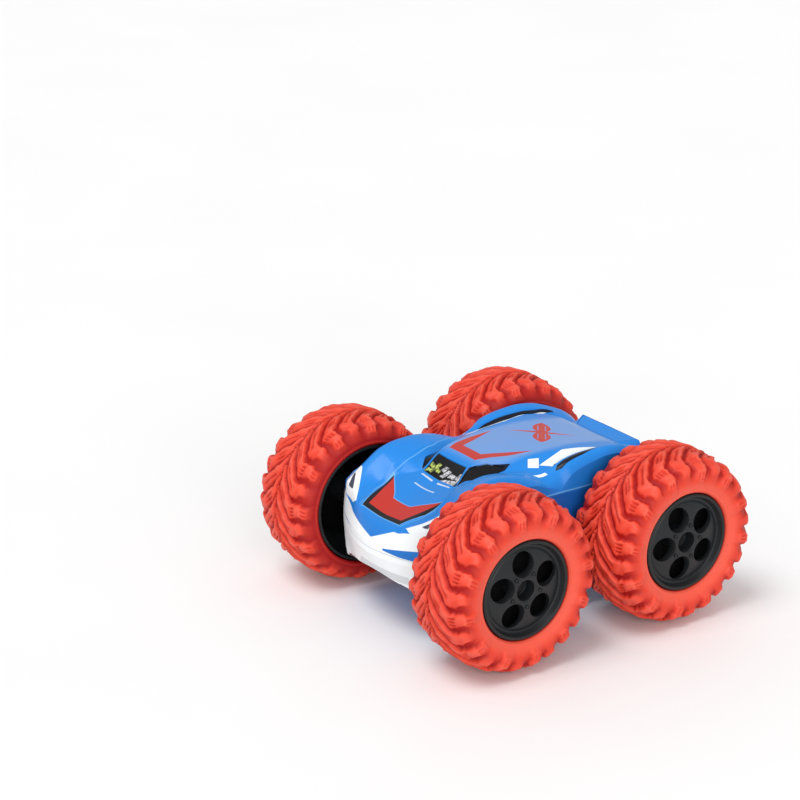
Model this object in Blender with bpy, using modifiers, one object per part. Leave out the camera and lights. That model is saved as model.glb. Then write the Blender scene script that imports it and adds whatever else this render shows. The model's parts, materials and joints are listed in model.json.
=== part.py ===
"""Double-sided radio-controlled stunt car, as an assembly of separate parts.

+Z is up, the nose points to -Y and the origin is on the ground under the middle of the car.
Two identical-looking body shells meet at the height of the axles, so the car runs either way up.
Inside, one motor on each side drives both wheels of that side through a train of spur gears.
Sizes are in millimetres, and MM turns them to metres when a mesh is made.
"""

import math

import bmesh
import bpy
import numpy as np
from mathutils import Matrix, Vector

MM = 0.001
GAP = 0.3                     # between pieces that touch

# Wheels
TYRE_RADIUS = 44.0
TYRE_HALF_WIDTH = 22.2
WHEELBASE = 99.0
TRACK = 129.0
RIM_RADIUS = 25.1
RIM_INNER_RADIUS = 30.9
RIM_FACE = 18.7               # outer face, from the wheel's middle plane
HUB_RADIUS = 6.5
AXLE_RADIUS = 2.0
SPOKE_HOLES = 5
SPOKE_HOLE_RADIUS = 5.4
SPOKE_HOLE_PITCH = 13.8
FIRST_HOLE = {"front_left": 42.0, "front_right": 30.0, "rear_left": 58.0, "rear_right": 66.0}   # degrees
WHEEL_FACETS = 24

# Body shells
SEAM = TYRE_RADIUS            # the shells meet at axle height
SHELL = 1.5
EDGE_X = 40.0                 # upper edge of the side wall
SEAM_X = 41.0                 # side wall at the seam
CREST_X = 36.0
BELT = 66.0                   # crease along the side wall
LIP = 3.0                     # upright part of the wall next to the seam
FRONT_EDGE = ((0, -77.0), (10, -76.6), (20, -74.6), (30, -69.8), (36, -69.0), (40, -64.0))
REAR_EDGE = ((0, 76.0), (22, 75.5), (36, 74.0), (40, 71.8))
# Half sections across the body: y, centre height, then (x, z) of the cabin's edge, of the valley
# beside it and of the fender's inner ridge, and the heights of the fender's crest and outer crease.
SECTIONS = (
    (-77.0, 57.0, (17.0, 57.8), (19.0, 57.6), (21.0, 57.8), 58.5, 56.5),
    (-72.0, 58.6, (17.5, 60.2), (19.5, 59.9), (21.5, 60.1), 61.8, 59.0),
    (-65.0, 60.8, (18.0, 62.4), (20.0, 61.9), (23.0, 62.4), 67.0, 63.0),
    (-58.0, 63.0, (18.0, 64.6), (20.5, 64.1), (24.0, 65.0), 71.9, 68.0),
    (-48.7, 65.9, (18.0, 68.0), (20.0, 69.0), (24.0, 72.4), 77.6, 73.4),
    (-39.6, 68.7, (13.8, 69.9), (20.0, 73.3), (24.0, 75.8), 79.6, 75.4),
    (-30.2, 77.8, (12.2, 78.2), (20.6, 73.8), (24.0, 77.4), 80.0, 75.6),
    (-25.0, 80.2, (13.4, 79.9), (21.2, 74.1), (25.0, 77.5), 79.5, 75.0),
    (-18.5, 80.7, (15.0, 80.5), (22.2, 74.7), (26.0, 76.8), 78.2, 73.6),
    (-10.0, 80.8, (17.6, 80.1), (25.4, 75.6), (29.0, 75.8), 75.2, 72.6),
    (-2.0, 80.9, (20.2, 79.9), (29.8, 75.2), (33.0, 73.9), 71.9, 69.6),
    (5.0, 80.9, (21.4, 79.9), (30.8, 75.6), (32.6, 76.4), 74.4, 67.6),
    (13.0, 80.6, (22.6, 80.0), (30.6, 76.4), (31.8, 79.2), 79.7, 73.8),
    (24.0, 79.6, (25.0, 79.9), (30.6, 77.2), (31.7, 80.5), 81.8, 77.1),
    (35.0, 78.4, (28.0, 79.0), (30.9, 77.0), (31.9, 80.6), 82.3, 78.8),
    (46.0, 76.9, (27.4, 77.2), (30.8, 75.4), (31.8, 79.0), 81.0, 77.7),
    (54.0, 75.2, (22.6, 75.3), (29.6, 72.9), (31.5, 76.4), 78.4, 75.0),
    (60.0, 71.9, (16.9, 72.3), (26.4, 70.0), (31.4, 73.4), 75.9, 72.6),
    (66.0, 72.7, (20.2, 72.9), (25.4, 68.0), (31.0, 70.6), 73.0, 69.2),
    (70.0, 73.4, (22.3, 73.4), (25.4, 66.4), (31.0, 68.4), 70.2, 66.6),
    (72.0, 66.6, (22.3, 66.8), (25.4, 64.6), (31.0, 66.6), 68.6, 65.0),
    (76.0, 60.0, (22.0, 60.0), (25.0, 60.2), (31.0, 61.6), 64.6, 61.6),
)
FRONT_ROWS = 2                # rows that follow the curved front edge

# Openings in the shells, as outlines seen from above, right half or whole
WINDSCREEN = ((-13.1, -39.0), (13.1, -39.0), (11.5, -30.8), (-11.5, -30.8))
SIDE_WINDOW = ((14.6, -38.4), (19.2, -33.0), (21.2, -20.0), (20.4, -14.6), (15.8, -21.6), (13.4, -30.0))
REAR_WING = ((-16.0, 60.8), (16.0, 60.8), (21.4, 69.4), (-21.4, 69.4))
DOOR = ((-13.0, -20.0), (13.0, -20.0), (13.0, 31.0), (-13.0, 31.0))
DOOR_HINGE = (-19.8, 7.3)     # y and z of the hinge line, on the door's outer side
DOOR_SCREW = (0.0, 28.2)
SWITCH_SLOT = ((-4.4, 40.2), (4.4, 40.2), (4.4, 43.8), (-4.4, 43.8))
SHELL_SCREWS = ((20.0, -52.0, 22.0), (17.0, 50.0, 13.6))   # x, y and the head's lower face

# Gear train: axle gears, idlers and the middle gear stand in line, half a wheelbase each way
MODULE = 1.5
AXLE_TEETH = 18
IDLER_TEETH = 19
SMALL_TEETH = 10
LARGE_TEETH = 18
PINION_TEETH = 8
TRAIN_PLANE = (33.2, 36.6)    # from and to, across the car
DRIVE_PLANE = (29.8, 32.4)
PIN_RADIUS = 1.2
MOTOR_Y = -13.0
MOTOR_RADIUS = 10.0
MOTOR_LENGTH = 24.0

# Chassis: a tub and a lid that meet at the seam
WALL = 1.3
BAY_X = 28.8                  # outer face of the walls that carry the bushes
BAY_WALL = 1.8
BAY_Y = 56.0
SIDE_X = 37.1
SIDE_Y = 66.2
FLOOR = 26.6
COVER = (37.4, 38.7)
BUSH_RADIUS = 4.0

BOARD = ((-20.0, 4.0, 62.0), (20.0, 50.0, 63.6))
BATTERY = ((-11.5, -17.0, 11.3), (11.5, 25.5, 26.3))

SIDES = {"left": 1, "right": -1}
ENDS = {"front": -1, "rear": 1}
LAYERS = {"upper": 1, "lower": -1}


def clear_scene():
    for obj in list(bpy.data.objects):
        bpy.data.objects.remove(obj, do_unlink=True)


def material(name, colour, roughness, metallic=0.0):
    made = bpy.data.materials.new(name)
    made.use_nodes = True
    made.diffuse_color = (*colour, 1)
    shader = made.node_tree.nodes["Principled BSDF"]
    shader.inputs["Base Color"].default_value = (*colour, 1)
    shader.inputs["Roughness"].default_value = roughness
    shader.inputs["Metallic"].default_value = metallic
    return made


clear_scene()
CAR = bpy.data.collections.new("rc_stunt_car")
CUTTERS = bpy.data.collections.new("cutters")
for made_collection in (CAR, CUTTERS):
    bpy.context.scene.collection.children.link(made_collection)

BODY_BLUE = material("body_blue", (0.03, 0.24, 0.74), 0.28)
SMOKED = material("smoked_window", (0.01, 0.01, 0.012), 0.12)
RUBBER = material("tyre_red", (0.80, 0.06, 0.03), 0.5)
RIM_BLACK = material("rim_black", (0.015, 0.015, 0.017), 0.42)
CHASSIS = material("chassis_black", (0.02, 0.02, 0.022), 0.6)
GEAR_WHITE = material("gear_white", (0.75, 0.74, 0.70), 0.45)
STEEL = material("steel", (0.60, 0.60, 0.61), 0.3, 1.0)
BRASS = material("brass", (0.75, 0.55, 0.25), 0.35, 1.0)
BOARD_GREEN = material("board_green", (0.02, 0.22, 0.07), 0.5)
BATTERY_WRAP = material("battery_wrap", (0.04, 0.10, 0.30), 0.4)


# ---- Making objects ----

def add(name, data, paint, place=(0, 0, 0), turn=(0, 0, 0), helper=False):
    """An object at `place`; a helper goes with the cutters and isn't rendered."""
    obj = bpy.data.objects.new(name, data)
    obj.location = Vector(place) * MM
    obj.rotation_euler = turn
    if paint:
        data.materials.append(paint)
    if helper:
        obj.hide_render = True
        obj.display_type = "WIRE"
    (CUTTERS if helper else CAR).objects.link(obj)
    return obj


def add_mesh(name, bm, paint, **where):
    bm.transform(Matrix.Scale(MM, 4))
    bm.normal_update()
    mesh = bpy.data.meshes.new(name)
    bm.to_mesh(mesh)
    bm.free()
    return add(name, mesh, paint, **where)


def box(name, low, high, paint=None, bevel=0.0, **where):
    low, high = Vector(low), Vector(high)
    bm = bmesh.new()
    bmesh.ops.create_cube(bm, size=1.0)
    bmesh.ops.scale(bm, vec=high - low, verts=bm.verts)
    obj = add_mesh(name, bm, paint, place=(low + high) / 2, **where)
    if bevel:
        modifier = obj.modifiers.new("rounded edges", "BEVEL")
        modifier.width = bevel * MM
        modifier.segments = 1
    return obj


def rod(name, radius, start, end, paint=None, sides=12, **where):
    """A cylinder between two points on a line along X or Z."""
    start, end = Vector(start), Vector(end)
    bm = bmesh.new()
    bmesh.ops.create_cone(bm, cap_ends=True, segments=sides, radius1=radius, radius2=radius,
                          depth=(end - start).length)
    along_x = abs(end.x - start.x) > abs(end.z - start.z)
    turn = (0, math.pi / 2, 0) if along_x else (0, 0, 0)
    return add_mesh(name, bm, paint, place=(start + end) / 2, turn=turn, **where)


def prism(name, outline, low, high, paint=None, **where):
    """An outline seen from above, extruded from one height to another."""
    bm = bmesh.new()
    face = bm.faces.new([bm.verts.new((x, y, low)) for x, y in outline])
    grown = bmesh.ops.extrude_face_region(bm, geom=[face])
    top = [item for item in grown["geom"] if isinstance(item, bmesh.types.BMVert)]
    bmesh.ops.translate(bm, vec=(0, 0, high - low), verts=top)
    bmesh.ops.recalc_face_normals(bm, faces=bm.faces)
    return add_mesh(name, bm, paint, **where)


def turned(name, profile, paint, place, side, steps=16):
    """A profile of (radius, outward) points turned about the X axis, outward away from the car."""
    half_step = math.pi / steps
    mesh = bpy.data.meshes.new(name)
    points = [(radius * math.cos(half_step) * MM, radius * math.sin(half_step) * MM, out * MM)
              for radius, out in profile]
    count = len(points)
    mesh.from_pydata(points, [(i, (i + 1) % count) for i in range(count)], [])
    obj = add(name, mesh, paint, place=place, turn=(0, side * math.pi / 2, 0))
    screw = obj.modifiers.new("turned", "SCREW")
    screw.steps = screw.render_steps = steps
    screw.use_merge_vertices = True
    screw.merge_threshold = 0.00001
    screw.use_smooth_shade = False
    return obj


def boolean(obj, other, operation="DIFFERENCE"):
    modifier = obj.modifiers.new(f"{operation.lower()} {other.name}", "BOOLEAN")
    modifier.operation = operation
    modifier.object = other
    return obj


def inset(outline, distance):
    """A convex outline, listed anticlockwise, with every side moved in by `distance`."""
    points = [Vector(point) for point in outline]
    moved = []
    for i, point in enumerate(points):
        before = (point - points[i - 1]).normalized()
        after = (points[(i + 1) % len(points)] - point).normalized()
        inward = Vector((-before.y, before.x)) + Vector((-after.y, after.x))
        moved.append(point + inward * (distance / (1 + before.dot(after))))
    return [tuple(point) for point in moved]


def mirrored(outline, side):
    """The outline on the left side (1), or its mirror image on the right (-1), anticlockwise."""
    return outline if side > 0 else [(-x, y) for x, y in reversed(outline)]


# ---- Body shells ----

def section(y):
    """x and z of the six points of the half section at y."""
    stations = [row[0] for row in SECTIONS]
    def along(values):
        return float(np.interp(y, stations, values))
    xs, zs = [0.0], [along([row[1] for row in SECTIONS])]
    for column in (2, 3, 4):
        xs.append(along([row[column][0] for row in SECTIONS]))
        zs.append(along([row[column][1] for row in SECTIONS]))
    xs += [CREST_X, EDGE_X]
    zs += [along([row[5] for row in SECTIONS]), along([row[6] for row in SECTIONS])]
    return xs, zs


def height(x, y):
    xs, zs = section(y)
    return float(np.interp(abs(x), xs, zs))


def edge(points, x):
    return float(np.interp(abs(x), [p[0] for p in points], [p[1] for p in points]))


def front_seam(x):
    return -81.0 + 13.6 * (abs(x) / SEAM_X) ** 1.7


def rear_seam(x):
    return 78.0 - 3.5 * (abs(x) / SEAM_X) ** 2


def shell_rows():
    """The top surface as rows of points, front to rear, each from right (-X) to left (+X)."""
    stations = [row[0] for row in SECTIONS]
    first = stations.index(-58.0)
    rows = []
    for step in range(FRONT_ROWS):
        xs, _ = section(-72.0 + 7.0 * step)
        front = [(x, edge(FRONT_EDGE, x) * (1 - step / FRONT_ROWS) - 58.0 * step / FRONT_ROWS) for x in xs]
        rows.append([(x, y, height(x, y)) for x, y in front])
    for y in stations[first:-1]:
        xs, zs = section(y)
        rows.append([(x, min(y, edge(REAR_EDGE, x)), z) for x, z in zip(xs, zs)])
    xs, _ = section(stations[-1])
    rows.append([(x, edge(REAR_EDGE, x) + 0.4, height(x, edge(REAR_EDGE, x) + 0.4)) for x in xs])
    return [[(-x, y, z) for x, y, z in row[:0:-1]] + row for row in rows]


def skirt_rings(rim):
    """The rim's points carried out and down: to the belt line, then to a short upright lip at the seam."""
    corner_y = (edge(FRONT_EDGE, EDGE_X), edge(REAR_EDGE, EDGE_X) + 0.4)
    seam_y = (front_seam(EDGE_X), rear_seam(EDGE_X))
    rings = [[], [], []]
    for x, y, z in rim:
        on_side = abs(x) > EDGE_X - 0.01
        if on_side:
            outer_y = float(np.interp(y, corner_y, seam_y))
        else:
            outer_y = front_seam(x) if y < 0 else rear_seam(x)
        outer = Vector((x * SEAM_X / EDGE_X, outer_y))
        belt = Vector((x, y)).lerp(outer, 0.7 if on_side else 0.3)
        rings[0].append((*belt, min(BELT, z - 1.5) if on_side else z - 2.5))
        rings[1].append((*outer, SEAM + LIP))
        rings[2].append((*outer, SEAM + GAP / 2))
    return rings


def shell_skin(name, layer):
    """Open surface of one shell, its faces pointing out; layer -1 is its mirror image below the seam."""
    rows = shell_rows()
    bm = bmesh.new()

    def vert(point):
        return bm.verts.new((point[0], point[1], SEAM + layer * (point[2] - SEAM)))

    def quad(a, b, c, d):
        bm.faces.new((a, b, c, d) if layer > 0 else (d, c, b, a))

    grid = [[vert(point) for point in row] for row in rows]
    for near, far in zip(grid, grid[1:]):
        for i in range(len(near) - 1):
            quad(near[i], near[i + 1], far[i + 1], far[i])
    last = len(rows[0]) - 1
    order = [(0, i) for i in range(last)] + [(r, last) for r in range(len(rows) - 1)]
    order += [(len(rows) - 1, i) for i in range(last, 0, -1)] + [(r, 0) for r in range(len(rows) - 1, 0, -1)]
    rim_points = [rows[r][i] for r, i in order]
    inner = [grid[r][i] for r, i in order]
    for ring in skirt_rings(rim_points):
        outer = [vert(point) for point in ring]
        for i in range(len(inner)):
            j = (i + 1) % len(inner)
            quad(inner[j], inner[i], outer[i], outer[j])
        inner = outer
    bm.transform(Matrix.Scale(MM, 4))
    bm.normal_update()
    mesh = bpy.data.meshes.new(name)
    bm.to_mesh(mesh)
    bm.free()
    return mesh


def skin_object(name, mesh, paint):
    data = mesh.copy()
    data.name = name
    obj = add(name, data, paint)
    wall = obj.modifiers.new("wall", "SOLIDIFY")
    wall.thickness = SHELL * MM
    wall.offset = -1.0
    return obj


def panel(shell, mesh, name, outline, paint, heights):
    """Cuts the outline out of the shell and makes the piece that fills it, a gap smaller all round."""
    boolean(shell, prism(f"{name}_opening", inset(outline, -GAP / 2), *heights, helper=True))
    piece = skin_object(name, mesh, paint)
    boolean(piece, prism(f"{name}_outline", inset(outline, GAP / 2), *heights, helper=True), "INTERSECT")
    return piece


def make_shells():
    for layer_name, layer in LAYERS.items():
        mesh = shell_skin(f"{layer_name}_skin", layer)
        shell = skin_object(f"{layer_name}_shell", mesh, BODY_BLUE)
        heights = (50.0, 95.0) if layer > 0 else (-7.0, 38.0)
        panel(shell, mesh, f"{layer_name}_windscreen", WINDSCREEN, SMOKED, heights)
        for side_name, side in SIDES.items():
            outline = mirrored(SIDE_WINDOW, side)
            panel(shell, mesh, f"{layer_name}_side_window_{side_name}", outline, SMOKED, heights)
        panel(shell, mesh, f"{layer_name}_rear_wing", REAR_WING, BODY_BLUE, heights)
        for end in ENDS.values():
            y = end * WHEELBASE / 2
            hole = rod(f"{layer_name}_axle_hole_{end}", AXLE_RADIUS + 2, (-46, y, SEAM), (46, y, SEAM), helper=True)
            boolean(shell, hole)
        if layer < 0:
            add_battery_door(shell, mesh, heights)
            boolean(shell, prism("switch_slot", SWITCH_SLOT, *heights, helper=True))
            for x, y, _ in screw_places():
                boolean(shell, rod(f"screw_hole_{x}_{y}", 2.9, (x, y, -5), (x, y, 26), helper=True))


def screw_places():
    return [(side * x, y, z) for x, y, z in SHELL_SCREWS for side in SIDES.values()]


def add_battery_door(shell, mesh, heights):
    door = panel(shell, mesh, "battery_door", DOOR, BODY_BLUE, heights)
    x, y = DOOR_SCREW
    boolean(door, rod("door_screw_hole", 2.5, (x, y, 0), (x, y, 16), helper=True))
    screw = screw_body("battery_door_screw", 2.2, 1.4, 5.0, (x, y, 88.0 - height(x, y) + 0.2))
    hinge = bpy.data.objects.new("battery_door_hinge", None)
    hinge.location = Vector((0, *DOOR_HINGE)) * MM
    CAR.objects.link(hinge)
    for obj in (door, screw):
        obj.parent = hinge
        obj.matrix_parent_inverse = Matrix.Translation(-hinge.location)


def screw_body(name, head_radius, head, shank, place):
    """A screw driven upwards, its head's lower face at `place`, with a cross recess left out."""
    profile = ((0.0, head + shank), (0.9, head + shank - 0.5), (0.9, head), (head_radius, head),
               (head_radius, 0.3), (head_radius - 0.3, 0.0), (0.0, 0.0))
    obj = turned(name, profile, STEEL, place, 1, steps=10)
    obj.rotation_euler = (0, 0, 0)
    return obj


# ---- Wheels ----

def tyre_profile():
    """A balloon tyre's section: outer side from the outer bead to the inner one, then the inside."""
    wide = TYRE_HALF_WIDTH
    outer = [(RIM_RADIUS + GAP, RIM_FACE), (29.0, wide - 0.6), (33.0, wide), (38.0, wide - 1.7),
             (42.0, wide - 7.0), (TYRE_RADIUS, wide - 14.0), (TYRE_RADIUS, 14.0 - wide),
             (42.0, 7.0 - wide), (37.5, 1.4 - wide), (RIM_INNER_RADIUS + GAP, 1.6 - wide)]
    inner = [(RIM_INNER_RADIUS + GAP, -16.0), (38.0, -12.0), (40.5, 0.0), (38.0, 12.0), (RIM_RADIUS + GAP, 15.0)]
    flats = 1 / math.cos(math.pi / WHEEL_FACETS)
    return [(radius * flats, out) for radius, out in outer + inner]


def rim_profile():
    return ((RIM_RADIUS, RIM_FACE), (RIM_RADIUS, 0.0),
            (RIM_INNER_RADIUS, -11.0), (RIM_INNER_RADIUS, -20.5), (RIM_INNER_RADIUS - 1.8, -20.5),
            (RIM_INNER_RADIUS - 1.8, -11.8), (RIM_RADIUS - 1.8, -1.2), (RIM_RADIUS - 1.8, 15.4),
            (HUB_RADIUS, 15.4), (HUB_RADIUS, -6.0), (AXLE_RADIUS + GAP, -6.0), (AXLE_RADIUS + GAP, 12.2),
            (4.2, 12.2), (4.2, RIM_FACE - 0.3), (19.6, RIM_FACE - 0.3))


def axle_profile():
    """From the bush inside the chassis to the hub, with a blind hole for the hub screw."""
    middle = TRACK / 2
    return ((1.3, 12.0), (AXLE_RADIUS, 12.0), (AXLE_RADIUS, 26.4 - middle), (0.0, 26.4 - middle),
            (0.0, 6.0), (1.3, 6.0))


def hub_screw_profile():
    return ((0.0, 14.9), (2.6, 14.9), (3.3, 14.3), (3.3, 12.5), (1.0, 12.5), (1.0, 6.8), (0.0, 6.8))


def make_wheels():
    for side_name, side in SIDES.items():
        for end_name, end in ENDS.items():
            where = f"{end_name}_{side_name}"
            place = (side * TRACK / 2, end * WHEELBASE / 2, SEAM)
            turned(f"tyre_{where}", tyre_profile(), RUBBER, place, side, WHEEL_FACETS)
            rim = turned(f"rim_{where}", rim_profile(), RIM_BLACK, place, side, 18)
            boolean(rim, spoke_cutter(f"spoke_holes_{where}", place, side, math.radians(FIRST_HOLE[where])))
            turned(f"axle_{where}", axle_profile(), STEEL, place, side, 12)
            turned(f"hub_screw_{where}", hub_screw_profile(), STEEL, place, side, 10)
            bush = ((AXLE_RADIUS + GAP, -36.0), (BUSH_RADIUS, -36.0), (BUSH_RADIUS, -37.8), (AXLE_RADIUS + GAP, -37.8))
            turned(f"axle_bush_{where}", bush, BRASS, place, side, 12)


def spoke_cutter(name, place, side, first):
    """Five separate round bars in one mesh, through the rim's face."""
    bm = bmesh.new()
    for i in range(SPOKE_HOLES):
        angle = first + math.tau * i / SPOKE_HOLES
        offset = (SPOKE_HOLE_PITCH * math.cos(angle), SPOKE_HOLE_PITCH * math.sin(angle), RIM_FACE)
        bmesh.ops.create_cone(bm, cap_ends=True, segments=8, radius1=SPOKE_HOLE_RADIUS,
                              radius2=SPOKE_HOLE_RADIUS, depth=12.0, matrix=Matrix.Translation(offset))
    return add_mesh(name, bm, None, place=place, turn=(0, side * math.pi / 2, 0), helper=True)


# ---- Gears ----

def pitch_radius(teeth):
    return MODULE * teeth / 2


def gear_outline(teeth, phase):
    """Straight-sided teeth, one centred on the angle `phase`."""
    tip, root = pitch_radius(teeth) + 0.9 * MODULE, pitch_radius(teeth) - 1.2 * MODULE
    pitch = math.tau / teeth
    points = []
    for i in range(teeth):
        for share, radius in ((-0.26, root), (-0.09, tip), (0.09, tip), (0.26, root)):
            angle = phase + pitch * (i + share)
            points.append((radius * math.cos(angle), radius * math.sin(angle)))
    return points


def gear(name, teeth, phase, bore, plane, side, centre, paint=GEAR_WHITE, helper=False):
    """A flat gear in a plane across the car, standing on its own axis."""
    curve = bpy.data.curves.new(name, "CURVE")
    curve.dimensions = "2D"
    curve.fill_mode = "BOTH"
    curve.extrude = (plane[1] - plane[0]) / 2 * MM
    hole = [(bore * math.cos(math.tau * i / 8), bore * math.sin(math.tau * i / 8)) for i in range(8)]
    for outline in (gear_outline(teeth, phase), hole):
        spline = curve.splines.new("POLY")
        spline.points.add(len(outline) - 1)
        for point, (x, y) in zip(spline.points, outline):
            point.co = (x * MM, y * MM, 0, 1)
        spline.use_cyclic_u = True
    place = (side * (plane[0] + plane[1]) / 2, *centre)
    guide = add(f"{name}_outline", curve, None, place=place, turn=(math.pi / 2, 0, math.pi / 2), helper=True)
    return meshed(guide, name, paint, helper)


def meshed(guide, name, paint, helper):
    """The curve as a welded mesh object in the same place; the curve goes."""
    bpy.context.view_layer.update()
    graph = bpy.context.evaluated_depsgraph_get()
    mesh = bpy.data.meshes.new_from_object(guide.evaluated_get(graph))
    bm = bmesh.new()
    bm.from_mesh(mesh)
    bmesh.ops.remove_doubles(bm, verts=bm.verts, dist=0.000001)
    bmesh.ops.recalc_face_normals(bm, faces=bm.faces)
    bm.to_mesh(mesh)
    bm.free()
    mesh.name = name
    obj = add(name, mesh, paint, helper=helper)
    obj.matrix_world = guide.matrix_world.copy()
    bpy.data.objects.remove(guide, do_unlink=True)
    return obj


def meshing_phase(angle, teeth, phase, other_teeth):
    """The phase of a gear that meshes with this one, and lies from it in the direction `angle`."""
    share = (angle - phase) * teeth / math.tau
    return angle + math.pi - math.tau / other_teeth * (0.5 - share)


def motor_centre():
    distance = pitch_radius(LARGE_TEETH) + pitch_radius(PINION_TEETH)
    return MOTOR_Y, SEAM + math.sqrt(distance ** 2 - MOTOR_Y ** 2)


def make_gears():
    idler_y = pitch_radius(SMALL_TEETH) + pitch_radius(IDLER_TEETH)
    bore = PIN_RADIUS + GAP
    for side_name, side in SIDES.items():
        middle = gear(f"middle_gear_{side_name}", LARGE_TEETH, 0.0, bore, DRIVE_PLANE, side, (0, SEAM))
        hub_plane = (DRIVE_PLANE[1] - 1.0, TRAIN_PLANE[1])
        hub = gear(f"middle_gear_hub_{side_name}", SMALL_TEETH, 0.0, bore, hub_plane, side, (0, SEAM), helper=True)
        boolean(middle, hub, "UNION")
        y, z = motor_centre()
        angle = math.atan2(z - SEAM, y)
        phase = meshing_phase(angle, LARGE_TEETH, 0.0, PINION_TEETH)
        gear(f"motor_pinion_{side_name}", PINION_TEETH, phase, 1.0 + GAP, DRIVE_PLANE, side, (y, z), BRASS)
        for end_name, end in ENDS.items():
            where = f"{end_name}_{side_name}"
            angle = 0.0 if end > 0 else math.pi
            phase = meshing_phase(angle, SMALL_TEETH, 0.0, IDLER_TEETH)
            gear(f"idler_gear_{where}", IDLER_TEETH, phase, bore, TRAIN_PLANE, side, (end * idler_y, SEAM))
            phase = meshing_phase(angle, IDLER_TEETH, phase, AXLE_TEETH)
            gear(f"axle_gear_{where}", AXLE_TEETH, phase, AXLE_RADIUS + GAP, TRAIN_PLANE, side,
                 (end * WHEELBASE / 2, SEAM))
        make_cover(side_name, side, idler_y)
        make_motor(side_name, side, y, z)


def make_cover(side_name, side, idler_y):
    """Closes the gear case and carries the pins that the loose gears turn on."""
    low, high = (side * COVER[0], -SIDE_Y, FLOOR), (side * COVER[1], SIDE_Y, 2 * SEAM - FLOOR)
    cover = box(f"gearbox_cover_{side_name}", np.minimum(low, high), np.maximum(low, high), CHASSIS)
    for y in (-idler_y, 0.0, idler_y):
        start = TRAIN_PLANE[0] if y else DRIVE_PLANE[0]
        pin = rod(f"gear_pin_{side_name}_{y:.0f}", PIN_RADIUS, (side * start, y, SEAM),
                  (side * (COVER[0] + 0.6), y, SEAM), sides=8, helper=True)
        boolean(cover, pin, "UNION")
    for end in ENDS.values():
        y = end * WHEELBASE / 2
        hole = rod(f"cover_hole_{side_name}_{end}", AXLE_RADIUS + GAP + 0.1, (side * 36, y, SEAM),
                   (side * 40, y, SEAM), helper=True)
        boolean(cover, hole)


def make_motor(side_name, side, y, z):
    """A round can with its boss and shaft pointing out to the pinion."""
    end = BAY_X - BAY_WALL - GAP
    profile = ((0.0, 32.2), (1.0, 32.2), (1.0, end), (3.0, end), (3.0, end - 1.0), (MOTOR_RADIUS, end - 1.0),
               (MOTOR_RADIUS, end - MOTOR_LENGTH), (0.0, end - MOTOR_LENGTH))
    turned(f"motor_{side_name}", profile, STEEL, (0, y, z), side, 12)


# ---- Chassis and electrics ----

def make_chassis():
    for name, layer in (("chassis_tub", -1), ("chassis_lid", 1)):
        def level(z):
            return SEAM + layer * (SEAM - z)

        def block(part_name, low, high, **kind):
            ends = sorted((level(low[2]), level(high[2])))
            return box(part_name, (*low[:2], ends[0]), (*high[:2], ends[1]), **kind)

        top = SEAM - GAP / 2
        body = block(name, (-BAY_X, -BAY_Y, FLOOR), (BAY_X, BAY_Y, top), paint=CHASSIS)
        for side in SIDES.values():
            xs = sorted((side * (BAY_X - 1.0), side * SIDE_X))
            pod = block(f"{name}_pod_{side}", (xs[0], -SIDE_Y, FLOOR), (xs[1], SIDE_Y, top), helper=True)
            boolean(body, pod, "UNION")
        inner_x = BAY_X - BAY_WALL
        boolean(body, block(f"{name}_bay", (-inner_x, WALL - BAY_Y, FLOOR + WALL),
                            (inner_x, BAY_Y - WALL, SEAM + 1), helper=True))
        for side in SIDES.values():
            xs = sorted((side * BAY_X, side * (SIDE_X + 1)))
            boolean(body, block(f"{name}_gear_case_{side}", (xs[0], WALL - SIDE_Y, FLOOR + WALL),
                                (xs[1], SIDE_Y - WALL, SEAM + 1), helper=True))
        for end in ENDS.values():
            y = end * WHEELBASE / 2
            boolean(body, rod(f"{name}_bush_seat_{end}", BUSH_RADIUS + GAP, (-30, y, SEAM), (30, y, SEAM), helper=True))
        if layer > 0:
            y, z = motor_centre()
            boolean(body, box("motor_bay", (-26.0, y - 11, 45.0), (26.0, y + 11, 75.0), helper=True))
            boolean(body, rod("shaft_hole", 3.4, (-30, y, z), (30, y, z), helper=True))
            for side in SIDES.values():
                xs = sorted((side * (BAY_X + 0.3), side * (DRIVE_PLANE[1] + 0.6)))
                boolean(body, box(f"pinion_bay_{side}", (xs[0], y - 8.4, 50.0), (xs[1], y + 8.4, 75.0), helper=True))
        else:
            for x, y, z in screw_places():
                low = z + 1.4 + GAP
                boolean(body, rod(f"boss_{x}_{y}", 2.8, (x, y, low), (x, y, FLOOR + 0.6), helper=True), "UNION")
                boolean(body, rod(f"boss_hole_{x}_{y}", 1.2, (x, y, low - 2), (x, y, FLOOR + 0.9), sides=8, helper=True))


def make_fasteners():
    names = ("front_left", "front_right", "rear_left", "rear_right")
    for name, (x, y, z) in zip(names, screw_places()):
        screw_body(f"shell_screw_{name}", 2.6, 1.4, min(3.6, FLOOR - z - 1.2), (x, y, z))


def make_electrics():
    box("battery", *BATTERY, BATTERY_WRAP, bevel=1.5)
    box("circuit_board", *BOARD, BOARD_GREEN)
    roof = 2 * SEAM - height(0, 42.0) + SHELL + 1.0
    box("switch_body", (-6.0, 38.0, roof), (6.0, 46.0, roof + 6.0), CHASSIS)
    box("switch_knob", (-3.6, 40.7, roof - 3.6), (-0.6, 43.3, roof - GAP), CHASSIS)
    route = ((14, 44, BOARD[1][2] + GAP), (14, 44, 70.0), (14, 40, 71.0), (14, 16, 71.5))
    curve = bpy.data.curves.new("antenna", "CURVE")
    curve.dimensions = "3D"
    curve.bevel_depth = 0.5 * MM
    curve.bevel_resolution = 1
    curve.use_fill_caps = True
    spline = curve.splines.new("POLY")
    spline.points.add(len(route) - 1)
    for point, (x, y, z) in zip(spline.points, route):
        point.co = (x * MM, y * MM, z * MM, 1)
    add("antenna", curve, CHASSIS)


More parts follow.
